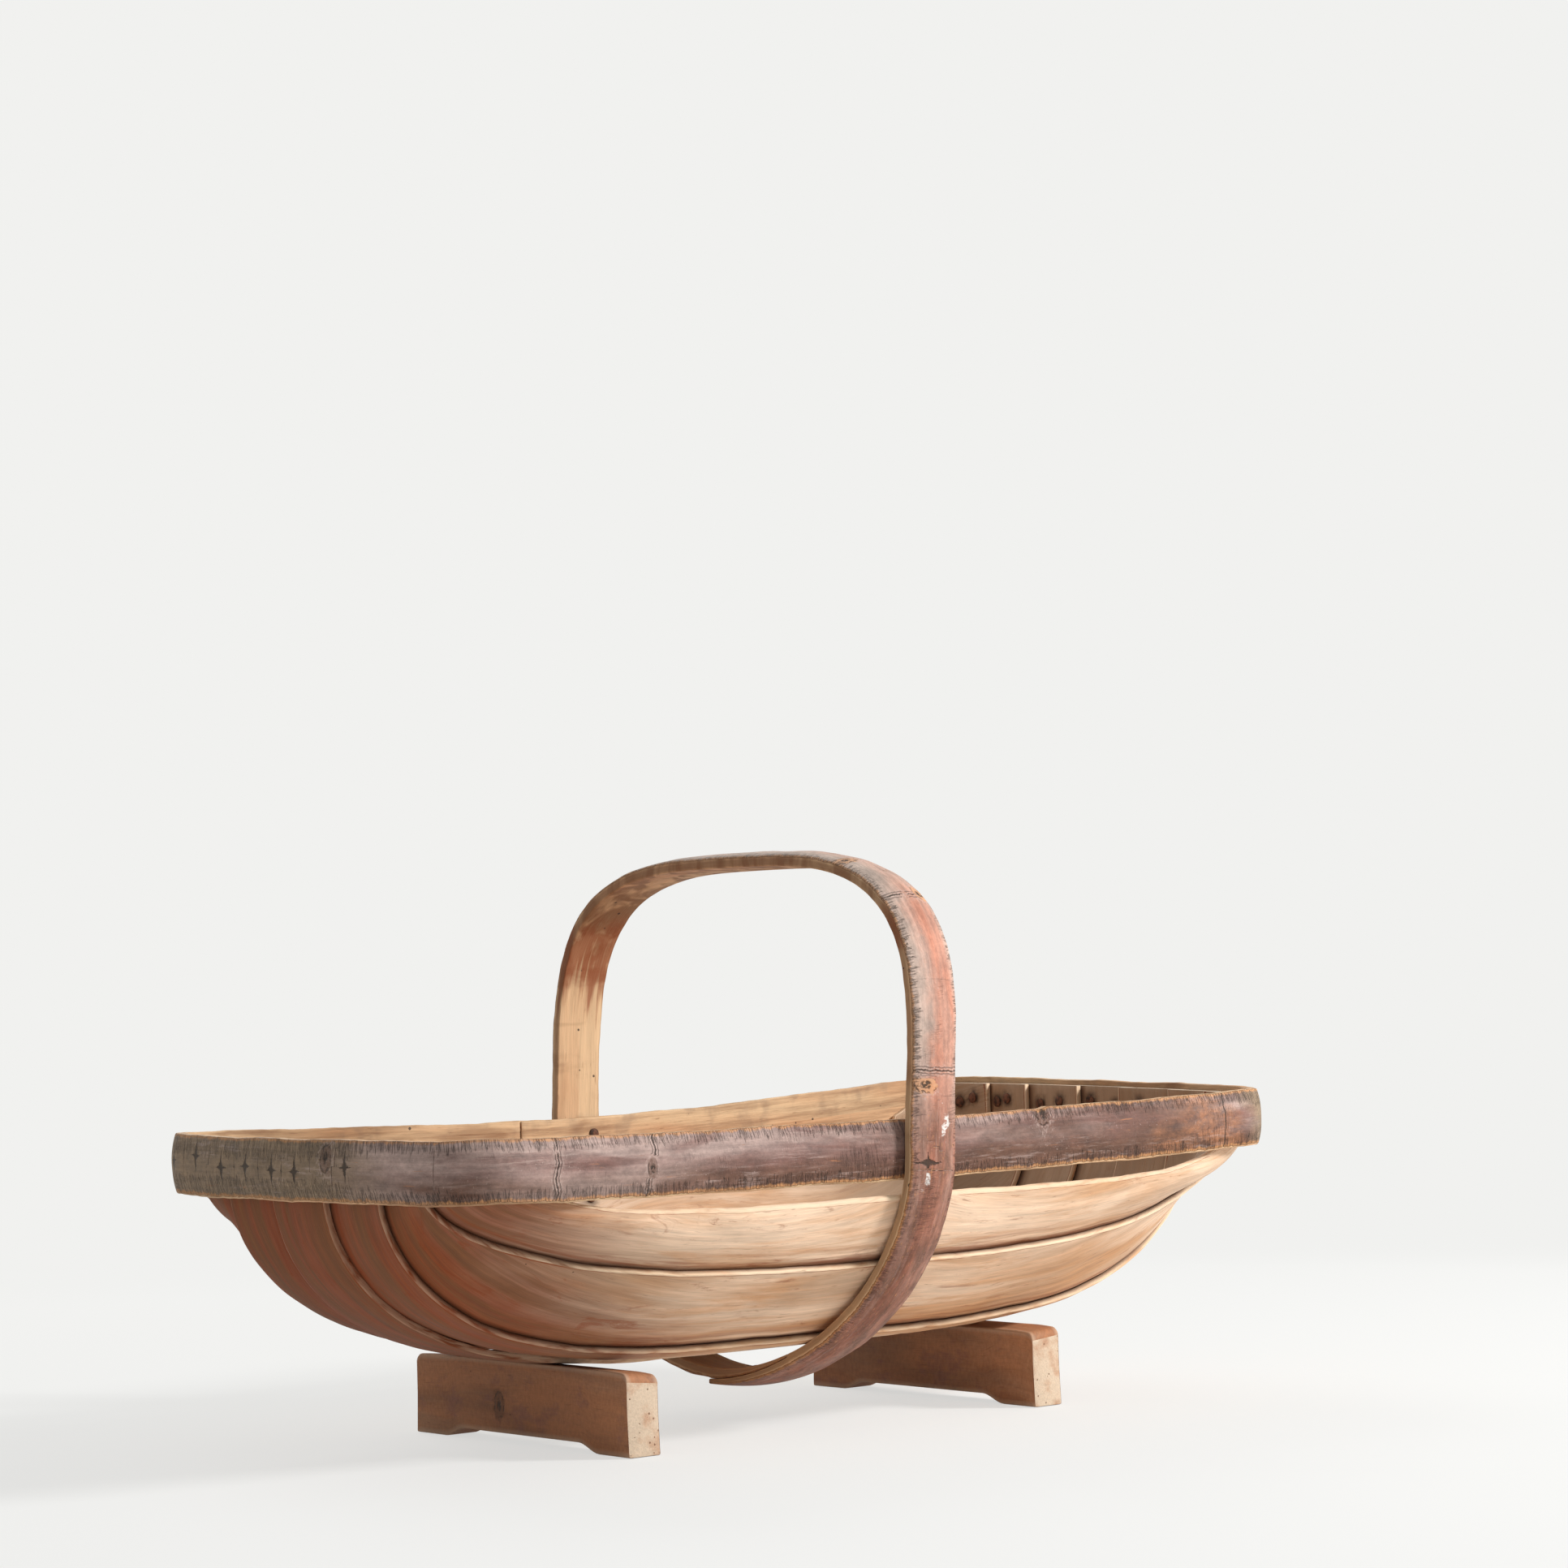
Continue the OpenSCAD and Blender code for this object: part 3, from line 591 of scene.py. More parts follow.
def mark_group():
    """Nail points, knots, creases, splits and white scuffs, drawn on the offset to the nearest one."""
    if "Bark marks" in bpy.data.node_groups:
        return bpy.data.node_groups["Bark marks"]
    tree, start, end = new_group(
        "Bark marks", [("Mark", "Vector"), ("Grain", "Vector")], ["Crack", "Knot", "Pale", "White"])
    parts = put(tree, "SeparateXYZ", None, Vector=start.outputs["Mark"])
    du, dv, kind = parts.outputs[0], parts.outputs[1], parts.outputs[2]
    grain = start.outputs["Grain"]
    warp = fog(tree, stretched(tree, grain, (240, 240, 1)), detail=3)
    torn = fog(tree, stretched(tree, grain, (700, 420, 1)), detail=3, roughness=0.6)
    shake = calc(tree, "MULTIPLY_ADD", warp, 0.0024, -0.0012)
    au = calc(tree, "ABSOLUTE", calc(tree, "ADD", du, shake))
    av = calc(tree, "ABSOLUTE", calc(tree, "SUBTRACT", dv, shake))
    radius = put(tree, "VectorMath", {"operation": "LENGTH"}, i0=put(
        tree, "CombineXYZ", None, X=calc(tree, "MULTIPLY", au, 1.6), Y=av).outputs[0]).outputs["Value"]
    radius = calc(tree, "MULTIPLY", radius, calc(tree, "MULTIPLY_ADD", warp, 0.95, 0.3))
    radius = calc(tree, "MULTIPLY", radius, calc(tree, "MULTIPLY_ADD", kind, 3.0, -5.0))

    def is_kind(number, value):
        return calc(tree, "MULTIPLY", value, calc(tree, "COMPARE", kind, float(number), 0.3))

    tall_arm = calc(tree, "MULTIPLY_ADD", av, 0.13, au)
    short_arm = calc(tree, "MULTIPLY_ADD", au, 0.24, av)
    centre = calc(tree, "MULTIPLY", calc(tree, "MULTIPLY_ADD", av, 0.45, au), 0.55)
    arms = calc(tree, "MINIMUM", centre, calc(tree, "MINIMUM", tall_arm, short_arm))
    arms = calc(tree, "MULTIPLY_ADD", torn, 0.0018, arms)
    star = is_kind(1, step(tree, arms, 0.0026, 0.0017))
    knot = is_kind(2, step(tree, radius, 0.0085, 0.0050))
    broken = step(tree, warp, 0.44, 0.56)
    ring = step(tree, calc(tree, "ABSOLUTE", calc(tree, "SUBTRACT", radius, 0.0062)), 0.0010, 0.0003, 0.7)
    core = calc(tree, "MULTIPLY", step(tree, radius, 0.0034, 0.0018), step(tree, torn, 0.40, 0.52))
    heart = is_kind(2, calc(tree, "MAXIMUM", calc(tree, "MULTIPLY", ring, broken), core))
    wander = calc(tree, "ABSOLUTE", calc(tree, "ADD", du, calc(tree, "MULTIPLY_ADD", fog(
        tree, stretched(tree, grain, (30, 110, 1)), detail=3), 0.006, -0.003)))
    wrinkle = calc(tree, "ABSOLUTE", calc(tree, "SUBTRACT", wander, 0.0019))
    wrinkles = calc(tree, "MAXIMUM", step(tree, calc(tree, "MULTIPLY_ADD", torn, 0.0014, wander), 0.0014, 0.0007),
                    step(tree, wrinkle, 0.0005, 0.0002, 0.5))
    creases = is_kind(3, calc(tree, "MULTIPLY", wrinkles, step(tree, fog(
        tree, stretched(tree, grain, (120, 170, 1)), detail=2), 0.30, 0.42)))
    split = is_kind(4, step(tree, calc(tree, "ABSOLUTE", calc(tree, "ADD", du, calc(
        tree, "MULTIPLY", shake, 0.6))), 0.0005, 0.0002))
    pale = calc(tree, "MULTIPLY", step(tree, torn, 0.42, 0.60), calc(
        tree, "MAXIMUM", is_kind(3, step(tree, wander, 0.0060, 0.0015)),
        is_kind(2, step(tree, radius, 0.0125, 0.0075))))
    long_way = calc(tree, "MAXIMUM", calc(tree, "MULTIPLY", au, 0.7), calc(tree, "MULTIPLY", av, 1.5))
    long_way = calc(tree, "MULTIPLY", long_way, calc(tree, "MULTIPLY_ADD", warp, 2.4, -0.2))
    white = is_kind(5, calc(tree, "MULTIPLY", step(tree, long_way, 0.0033, 0.0014), step(tree, torn, 0.34, 0.56)))
    crack = calc(tree, "MAXIMUM", calc(tree, "MAXIMUM", star, heart), calc(tree, "MAXIMUM", creases, split))
    for label, socket in (("Crack", crack), ("Knot", knot), ("Pale", pale), ("White", white)):
        tree.links.new(socket, end.inputs[label])
    return tree


def bark_group():
    """Bark on a band: ticks across it from its edges, scuffs and streaks along it, and its cover."""
    if "Bark skin" in bpy.data.node_groups:
        return bpy.data.node_groups["Bark skin"]
    tree, start, end = new_group(
        "Bark skin", [("Grain", "Vector"), ("Half Width", "Float"), ("Spread", "Float")],
        ["Cover", "Strip", "Ticks", "Scuff", "Silver", "Streak", "Mottle", "Edge", "Across", "Height"])
    grain = start.outputs["Grain"]
    v = put(tree, "SeparateXYZ", None, Vector=grain).outputs[1]
    far_out = calc(tree, "SUBTRACT", calc(tree, "ABSOLUTE", v), start.outputs["Half Width"])
    ragged = calc(tree, "MULTIPLY_ADD", fog(
        tree, stretched(tree, grain, (260, 90, 1)), detail=5, roughness=0.65), 0.0030, -0.0013)
    torn_edge = calc(tree, "ADD", far_out, ragged)
    cover = step(tree, torn_edge, 0.0002, -0.0002)
    strip = step(tree, calc(tree, "ADD", torn_edge, ragged), -0.0022, -0.0006)
    slanted = put(tree, "VectorMath", {"operation": "ADD"}, i0=grain, i1=put(
        tree, "CombineXYZ", None, X=calc(tree, "MULTIPLY", v, 0.14)).outputs[0]).outputs[0]
    wave = fog(tree, stretched(tree, slanted, (250, 24, 1)), detail=3, roughness=0.55, distortion=0.15)
    coarse = step(tree, calc(tree, "ABSOLUTE", calc(tree, "SUBTRACT", wave, 0.5)), 0.022, 0.004)
    second = fog(tree, stretched(tree, slanted, (520, 40, 1), (3.1, 1.7, 0)), detail=3, roughness=0.55)
    thin = step(tree, calc(tree, "ABSOLUTE", calc(tree, "SUBTRACT", second, 0.5)), 0.034, 0.006)
    reach = calc(tree, "MULTIPLY_ADD", fog(tree, stretched(tree, grain, (330, 3, 1)), detail=4, roughness=0.7),
                 0.022, -0.0055)
    reach = calc(tree, "MULTIPLY_ADD", start.outputs["Spread"], 0.007, reach)
    tick_end = step(tree, calc(tree, "ADD", far_out, reach), 0.0, 0.0022)
    patch = fog(tree, stretched(tree, grain, (14, 40, 1), (5.3, 0.4, 0)), detail=3)
    edge = step(tree, calc(tree, "ADD", far_out, calc(tree, "MULTIPLY", patch, 0.016)), 0.0, 0.0075)
    ticks = calc(tree, "MULTIPLY", calc(tree, "MAXIMUM", coarse, calc(tree, "MULTIPLY", thin, 0.6)), tick_end)
    stray = calc(tree, "MULTIPLY", calc(tree, "MULTIPLY", thin, step(tree, patch, 0.54, 0.66)), 0.4)
    ticks = calc(tree, "MAXIMUM", ticks, stray)
    scuff = calc(tree, "MULTIPLY", step(tree, fog(tree, stretched(
        tree, grain, (34, 360, 1)), detail=6, roughness=0.75), 0.5, 0.68), step(
        tree, fog(tree, stretched(tree, grain, (8, 44, 1), (1.3, 2.2, 0)), detail=4), 0.42, 0.62))
    silver = step(tree, fog(tree, stretched(
        tree, grain, (10, 58, 1), (4.1, 0.9, 0)), detail=5, roughness=0.6, distortion=0.5), 0.4, 0.66)
    streak = fog(tree, stretched(tree, grain, (14, 330, 1)), detail=5, roughness=0.65)
    mottle = fog(tree, stretched(tree, grain, (60, 95, 1)), detail=6, roughness=0.7, distortion=0.4)
    height = calc(tree, "SUBTRACT", calc(tree, "ADD", mottle, calc(tree, "MULTIPLY", streak, 0.5)),
                  calc(tree, "MULTIPLY", ticks, 1.3))
    outputs = (("Cover", cover), ("Strip", strip), ("Ticks", ticks), ("Scuff", scuff), ("Silver", silver),
               ("Streak", streak), ("Mottle", mottle), ("Edge", edge), ("Across", v), ("Height", height))
    for label, socket in outputs:
        tree.links.new(socket, end.inputs[label])
    return tree


def use_group(tree, group, **inputs):
    node = tree.nodes.new("ShaderNodeGroup")
    node.node_tree = group
    for name, value in inputs.items():
        socket = node.inputs[name.replace("_", " ")]
        if isinstance(value, bpy.types.NodeSocket):
            tree.links.new(value, socket)
        else:
            socket.default_value = value
    return node.outputs


class Paint:
    """A new material with its shader, its coordinates and a colour that is built up in layers."""

    def __init__(self, name):
        self.material = bpy.data.materials.new(name)
        self.material.use_nodes = True
        self.tree = self.material.node_tree
        self.shader = self.tree.nodes["Principled BSDF"]
        self.place = put(self.tree, "TexCoord").outputs["Object"]
        self.grain = put(self.tree, "UVMap", {"uv_map": "Grain"}).outputs[0]
        parts = put(self.tree, "SeparateXYZ", None, Vector=self.place).outputs
        self.x, self.y, self.z = parts[0], parts[1], parts[2]
        self.colour = None

    def attribute(self, name, output="Fac"):
        return put(self.tree, "Attribute", {"attribute_name": name}).outputs[output]

    def noise(self, vector, scale, low, high, top=1.0, shift=(0, 0, 0), **settings):
        """Patches of a stretched noise, from 0 to top."""
        return step(self.tree, fog(self.tree, stretched(self.tree, vector, scale, shift), **settings), low, high, top)

    def layer(self, share, colour, kind="MIX"):
        self.colour = blend(self.tree, share, self.colour, colour, kind)

    def both(self, colour, *shares):
        """Lays a colour where all of several masks are."""
        share = shares[0]
        for other in shares[1:]:
            share = calc(self.tree, "MULTIPLY", share, other)
        self.layer(share, colour)

    def shade(self, value, low, high):
        """Darkens or lightens the colour by a value that runs from low to high."""
        spread = put(self.tree, "MapRange", {"clamp": False}, Value=value, From_Min=0.25, From_Max=0.75,
                     To_Min=low, To_Max=high).outputs[0]
        grey = put(self.tree, "CombineColor", None, Red=spread, Green=spread, Blue=spread).outputs[0]
        self.colour = blend(self.tree, 1.0, self.colour, grey, "MULTIPLY")

    def close(self, height, depth, rough_value, rough_low, rough_high, shine=0.3):
        """Links the colour, the roughness and a bump of the given depth in metres."""
        tree = self.tree
        tree.links.new(self.colour, self.shader.inputs["Base Color"])
        rough = put(tree, "MapRange", {"clamp": True}, Value=rough_value, From_Min=0.2, From_Max=0.8,
                    To_Min=rough_low, To_Max=rough_high).outputs[0]
        tree.links.new(rough, self.shader.inputs["Roughness"])
        bump = put(tree, "Bump", None, Height=height, Distance=depth, Strength=1.0)
        tree.links.new(bump.outputs[0], self.shader.inputs["Normal"])
        self.shader.inputs["Specular IOR Level"].default_value = shine
        return self.material


def material_once(name, build, *arguments):
    if name in bpy.data.materials:
        return bpy.data.materials[name]
    return build(name, *arguments)


def lay_cleft_wood(p, c):
    """Lays bare cleft wood as the base colour and returns its grain outputs."""
    t = p.tree
    g = use_group(t, grain_group(), Grain=p.grain)
    p.colour = blend(t, step(t, g["Broad"], 0.4, 0.72), c.cleft_wood, c.tan_board)
    p.shade(g["Streak"], 0.82, 1.12)
    p.shade(g["Fine"], 0.86, 1.1)
    p.layer(p.noise(p.place, (16, 22, 40), 0.56, 0.72, 0.5, detail=4, distortion=0.5), c.cleft_grime)
    p.both(c.cleft_grime, g["Fleck"], 0.45)
    return g


def lay_rim_bark(p, c, bark, end_share, lean_x):
    """Purple-brown bark, silvery above with a painted sheen and brown below, grey at the ends, scratched to the
    orange.
    """
    t = p.tree
    height = calc(t, "ADD", bark["Across"], calc(t, "MULTIPLY_ADD", fog(
        t, stretched(t, p.grain, (9, 60, 1), (2.9, 5.1, 0)), detail=4), 0.022, -0.011))
    p.colour = blend(t, step(t, height, 0.002, -0.010, 0.8), c.purple_bark, c.rim_brown)
    # Painted sheen: silvery skin laid over the upper half of the band, which faces the light
    p.both(c.scuffed_bark_and_sheen, bark["Silver"], step(t, height, -0.008, 0.006, 0.6))
    p.both(c.scuffed_bark_and_sheen, step(t, p.x, -0.12, -0.22), p.noise(p.grain, (14, 70, 1), 0.3, 0.6, 0.45, detail=5))
    p.both(c.rim_brown, step(t, p.x, -0.10, 0.04),
           p.noise(p.grain, (12, 50, 1), 0.33, 0.6, 0.62, (3.3, 1.9, 0), detail=5))
    p.layer(end_share, c.grey_bark)
    orange = calc(t, "MULTIPLY", step(t, lean_x, 0.205, 0.235), step(t, lean_x, 0.275, 0.255))
    p.both(c.orange_bark, orange, step(t, bark["Mottle"], 0.30, 0.60, 0.55))


def lay_handle_bark(p, c, bark, drift):
    """Reddish bark above and purple-brown below, with a grey left edge and a pale crown."""
    t = p.tree
    low = step(t, calc(t, "ADD", p.z, calc(t, "MULTIPLY_ADD", drift, 0.06, -0.03)), 0.222, 0.165)
    p.colour = blend(t, low, c.red_bark, c.brown_bark)
    aside = calc(t, "ADD", bark["Across"], calc(t, "MULTIPLY_ADD", drift, 0.030, -0.015))
    aside = calc(t, "ADD", aside, calc(t, "MULTIPLY_ADD", bark["Mottle"], 0.012, -0.006))
    left_edge = step(t, aside, 0.001, -0.013)
    high = step(t, p.z, 0.16, 0.23, 0.8)
    p.both(c.handle_grey, calc(t, "MAXIMUM", left_edge, bark["Edge"]), high)
    p.both(c.handle_grey, bark["Silver"], 0.25)
    p.both(c.handle_grey, step(t, p.z, 0.305, 0.335), 0.6)
    p.both(c.rim_brown, low, p.noise(p.grain, (40, 130, 1), 0.42, 0.64, 0.55, (5.5, 2.6, 0), detail=6, roughness=0.7))
    p.both(c.honey_edge, low, p.noise(p.grain, (260, 900, 1), 0.62, 0.70, 0.6, detail=3))


def band_material(name, c, half_width, is_rim):
    """Bark on a domed face, bare cleft wood on the rest."""
    p = Paint(name)
    t = p.tree
    wood = lay_cleft_wood(p, c)
    holes = use_group(t, hole_group(), Place=p.place, Spacing=0.011, Radius=0.0011)["Hole"]
    if is_rim:
        p.layer(p.noise(p.place, (60, 60, 60), 0.5, 0.72, 0.5, detail=4), c.grey_stain)
        p.layer(p.noise(p.grain, (9, 150, 1), 0.42, 0.66, 0.55, (2.4, 6.0, 0), detail=5, roughness=0.65),
                c.cleft_grime)
    else:
        p.both(c.cleft_grime, step(t, p.z, 0.262, 0.30, 0.75),
               p.noise(p.place, (60, 60, 24), 0.36, 0.6, detail=3, distortion=0.8))
        streaks = fog(t, stretched(t, p.grain, (14, 180, 1), (0.7, 3.3, 0)), detail=5)
        ragged = calc(t, "ADD", p.z, calc(t, "MULTIPLY_ADD", streaks, 0.16, -0.08))
        p.both(c.red_board, step(t, ragged, 0.250, 0.284), step(t, p.z, 0.322, 0.300),
               p.noise(p.place, (50, 50, 30), 0.36, 0.52, 0.75, (1.9, 0.3, 0), detail=4))
        around = calc(t, "ABSOLUTE", put(t, "SeparateXYZ", None, Vector=p.grain).outputs[1])
        p.both(c.cleft_grime, step(t, around, half_width, half_width + 0.0018),
               step(t, around, half_width + 0.0058, half_width + 0.0042), 0.55)
    p.both(c.crack, holes, 0.85)
    bare = p.colour
    drift = fog(t, stretched(t, p.place, (11, 11, 20)), detail=5)
    lean_x = calc(t, "ADD", p.x, calc(t, "MULTIPLY_ADD", drift, 0.16, -0.08))
    lean_y = calc(t, "ADD", p.y, calc(t, "MULTIPLY_ADD", drift, 0.14, -0.07))
    end_share = calc(t, "MULTIPLY", step(t, lean_x, -0.20, -0.29), step(t, lean_y, -0.12, -0.04))
    end_share = calc(t, "MAXIMUM", end_share, step(t, lean_x, 0.265, 0.315))
    spread = calc(t, "MAXIMUM", end_share, 0.25) if is_rim else 0.0
    bark = use_group(t, bark_group(), Grain=p.grain, Half_Width=half_width, Spread=spread)
    marks = use_group(t, mark_group(), Mark=p.attribute("mark", "Vector"), Grain=p.grain)
    if is_rim:
        lay_rim_bark(p, c, bark, end_share, lean_x)
    else:
        lay_handle_bark(p, c, bark, drift)
    p.shade(bark["Mottle"], 0.60, 1.32)
    p.shade(bark["Streak"], 0.72, 1.22)
    p.shade(fog(t, stretched(t, p.grain, (330, 420, 1)), detail=3, roughness=0.7), 0.82, 1.14)
    p.both(c.scuffed_bark_and_sheen, bark["Scuff"], 0.5 if is_rim else 0.3)
    p.layer(p.noise(p.grain, (30, 330, 1), 0.655, 0.71, 0.6, (7.7, 3.1, 0),
                    detail=5, roughness=0.6, distortion=0.4), c.orange_bark)
    specks = p.noise(p.place, (900, 900, 900), 0.66, 0.74, 0.5, detail=2)
    p.both(c.scuffed_bark_and_sheen, specks, p.noise(p.place, (30, 30, 60), 0.4, 0.6, detail=3))
    p.both(c.scuffed_bark_and_sheen, marks["Pale"], 0.45)
    p.both(c.rim_brown if is_rim else c.honey_edge, marks["Knot"], 0.6)
    p.both(c.honey_edge, bark["Strip"], 0.7)
    if is_rim:
        p.both(c.crack, bark["Ticks"], step(t, end_share, 1.3, 0.2, 0.55))
    else:
        p.both(c.crack, bark["Ticks"], step(t, p.z, 0.16, 0.21), 0.5)
    p.both(c.white_scuff, marks["White"], 0.8)
    p.both(c.crack, marks["Crack"], 0.9)
    covered = p.colour
    p.colour = blend(t, bark["Cover"], bare, covered)
    rough_bark = calc(t, "ADD", calc(t, "SUBTRACT", bark["Height"], calc(t, "MULTIPLY", marks["Crack"], 1.3)), 1.2)
    rough_wood = calc(t, "SUBTRACT", calc(t, "MULTIPLY", wood["Height"], 0.5), holes)
    height = put(t, "Mix", {"data_type": "FLOAT"}, i0=bark["Cover"], i2=rough_wood, i3=rough_bark).outputs[0]
    return p.close(height, 0.0006, bark["Mottle"], 0.56, 0.8)


def board_material(name, c):
    """Shaved willow: honey and tan with streaks, brown left ends, weather and iron stains, lips paled by wear and a
    painted highlight with a painted shadow line beside them, and laps darkened by grime and painted shade.
    """
    p = Paint(name)
    t = p.tree
    g = use_group(t, grain_group(), Grain=p.grain)
    drift = fog(t, stretched(t, p.place, (9, 9, 22)), detail=5, distortion=0.4)
    p.colour = blend(t, step(t, g["Broad"], 0.4, 0.7), c.pale_board, c.tan_board)
    p.layer(p.noise(p.grain, (6, 110, 1), 0.5, 0.72, 0.55, (6.1, 2.3, 0), detail=6, roughness=0.65,
                    distortion=0.5), c.tan_board)
    lean = calc(t, "ADD", p.x, calc(t, "MULTIPLY_ADD", drift, 0.16, -0.08))
    lean = calc(t, "ADD", lean, calc(t, "MULTIPLY_ADD", p.z, 1.1, -0.11))
    brown_end = step(t, lean, -0.14, -0.28)
    p.layer(step(t, drift, 0.52, 0.72, 0.35), c.grey_stain)
    p.layer(p.noise(p.grain, (8, 42, 1), 0.5, 0.68, 0.5, (3.7, 1.1, 0), detail=6, roughness=0.6,
                    distortion=0.8), c.honey_edge)
    p.both(c.grey_stain, step(t, lean, -0.10, -0.20), step(t, drift, 0.35, 0.6, 0.45))
    p.both(c.tan_board, step(t, p.x, 0.05, 0.16), step(t, p.z, 0.11, 0.08, 0.6))
    outside = calc(t, "MULTIPLY_ADD", p.attribute("inside"), -0.6, 0.92)
    p.both(c.red_board, brown_end, outside)
    p.both(c.cleft_grime, brown_end, p.noise(p.grain, (5, 75, 1), 0.38, 0.60, 0.85, (4.6, 7.2, 0),
                                             detail=6, roughness=0.65, distortion=0.5))
    p.shade(g["Streak"], 0.74, 1.15)
    p.shade(g["Fine"], 0.84, 1.11)
    clusters = p.noise(p.grain, (13, 60, 1), 0.42, 0.62, detail=4)
    p.both(c.cleft_grime, g["Fleck"], calc(t, "MULTIPLY_ADD", clusters, 0.5, 0.12))
    scratches = p.noise(p.grain, (32, 420, 1), 0.62, 0.72, 0.6, (8.1, 0.9, 0), detail=4, roughness=0.7)
    p.both(c.red_board, scratches, clusters)
    seam = p.attribute("seam")
    p.both(c.red_board, seam, p.noise(p.grain, (9, 130, 1), 0.40, 0.62, 0.7, (1.7, 4.2, 0), detail=5, roughness=0.7))
    blots = p.noise(p.grain, (22, 80, 1), 0.57, 0.7, 0.5, (2.2, 0.7, 0), detail=6, roughness=0.7, distortion=1.2)
    p.layer(blots, c.red_board)
    inside = p.attribute("inside")
    p.both(c.grey_stain, inside, step(t, drift, 0.3, 0.6, 0.5))
    p.both(c.grey_stain, inside, step(t, p.x, 0.10, 0.24, 0.6))
    lip = p.attribute("lip")
    # Painted shadow: a dark line along the face just beside each lip
    shadow_line = calc(t, "MULTIPLY", step(t, lip, 0.02, 0.2), step(t, lip, 0.7, 0.4))
    p.both(c.red_board, shadow_line, p.noise(p.grain, (30, 200, 1), 0.30, 0.5, 0.8, detail=3))
    # Painted highlight with wear: the lips are laid paler, as where light catches the edges
    p.both(c.lip_wear_and_highlight, step(t, lip, 0.5, 0.9), p.noise(p.grain, (60, 300, 1), 0.3, 0.6, 0.65, detail=5))
    p.both(c.red_board, step(t, lip, 0.5, 0.9), step(t, lean, -0.16, -0.30, 0.6))
    # Painted shade with grime, darkening the laps between boards
    p.both(c.lap_dirt_and_shade, p.attribute("lap"), 0.8)
    stain = calc(t, "MULTIPLY", p.attribute("nail_stain"), p.noise(p.place, (160, 160, 160), 0.25, 0.6, detail=3))
    p.both(c.rust_dark, stain, 0.85)
    holes = use_group(t, hole_group(), Place=p.place, Spacing=0.03, Radius=0.0009)["Hole"]
    p.both(c.crack, holes, 0.8)
    height = calc(t, "SUBTRACT", calc(t, "SUBTRACT", g["Height"], calc(t, "MULTIPLY", scratches, 0.5)), holes)
    return p.close(height, 0.00026, g["Streak"], 0.62, 0.8, 0.2)


def end_material(name, c):
    """End grain of the boards and feet: pale, speckled and pitted."""
    p = Paint(name)
    t = p.tree
    speck = fog(t, p.place, scale=750, detail=4, roughness=0.7)
    blot = fog(t, p.place, scale=90, detail=3)
    p.colour = blend(t, step(t, blot, 0.45, 0.75, 0.7), c.end_grain, c.foot_wood)
    p.shade(speck, 0.8, 1.12)
    many = use_group(t, hole_group(), Place=p.place, Spacing=0.0032, Radius=0.0007)["Hole"]
    p.both(c.foot_dark, many, 0.85)
    p.layer(step(t, speck, 0.64, 0.72, 0.6), c.foot_dark)
    return p.close(calc(t, "SUBTRACT", speck, many), 0.0003, speck, 0.7, 0.85)


def foot_material(name, c):
    """Plain sawn foot: brown with darker stains, long grain and some worm holes."""
    p = Paint(name)
    t = p.tree
    g = use_group(t, grain_group(), Grain=p.grain)
    drift = fog(t, stretched(t, p.place, (22, 8, 40)), detail=5, distortion=0.5)
    p.colour = blend(t, step(t, drift, 0.44, 0.72, 0.6), c.foot_wood, c.foot_dark)
    p.layer(step(t, g["Broad"], 0.5, 0.75, 0.35), c.grey_stain)
    p.layer(p.noise(p.place, (50, 34, 60), 0.52, 0.68, 0.5, (1.1, 0.4, 0.2), detail=5, roughness=0.65), c.foot_stain)
    p.shade(g["Streak"], 0.88, 1.08)
    p.shade(g["Fine"], 0.92, 1.06)
    p.shade(fog(t, stretched(t, p.place, (420, 420, 260)), detail=3, roughness=0.7), 0.82, 1.16)
    p.both(c.foot_dark, g["Fleck"], 0.4)
    marks = use_group(t, mark_group(), Mark=p.attribute("mark", "Vector"), Grain=p.grain)
    p.layer(calc(t, "MULTIPLY", marks["Knot"], 0.8), c.foot_dark)
    p.both(c.crack, marks["Crack"], 0.85)
    p.layer(calc(t, "MULTIPLY", p.attribute("lip"), 0.35), c.end_grain)
    holes = use_group(t, hole_group(), Place=p.place, Spacing=0.016, Radius=0.001)["Hole"]
    p.both(c.crack, holes, 0.85)
    height = calc(t, "SUBTRACT", g["Height"], calc(t, "ADD", holes, marks["Crack"]))
    return p.close(height, 0.0003, g["Streak"], 0.62, 0.8)


def rust_material(name, c):
    """Rusted iron: brown with dark pits."""
    p = Paint(name)
    t = p.tree
    pit = fog(t, p.place, scale=1100, detail=4, roughness=0.7)
    broad = fog(t, p.place, scale=260, detail=2)
    p.colour = blend(t, step(t, broad, 0.4, 0.65), c.rust, c.rust_dark)
    p.shade(pit, 0.75, 1.2)
    p.layer(step(t, pit, 0.42, 0.32, 0.8), c.rust_dark)
    p.shader.inputs["Metallic"].default_value = 0.25
    return p.close(pit, 0.0003, pit, 0.6, 0.85)


# Pieces

# Kinds of mark; a knot's kind past 2 makes it smaller
STAR, KNOT, SMALL_KNOT, CREASE, SPLIT, SCUFF = 1, 2, 2.2, 3, 4, 5


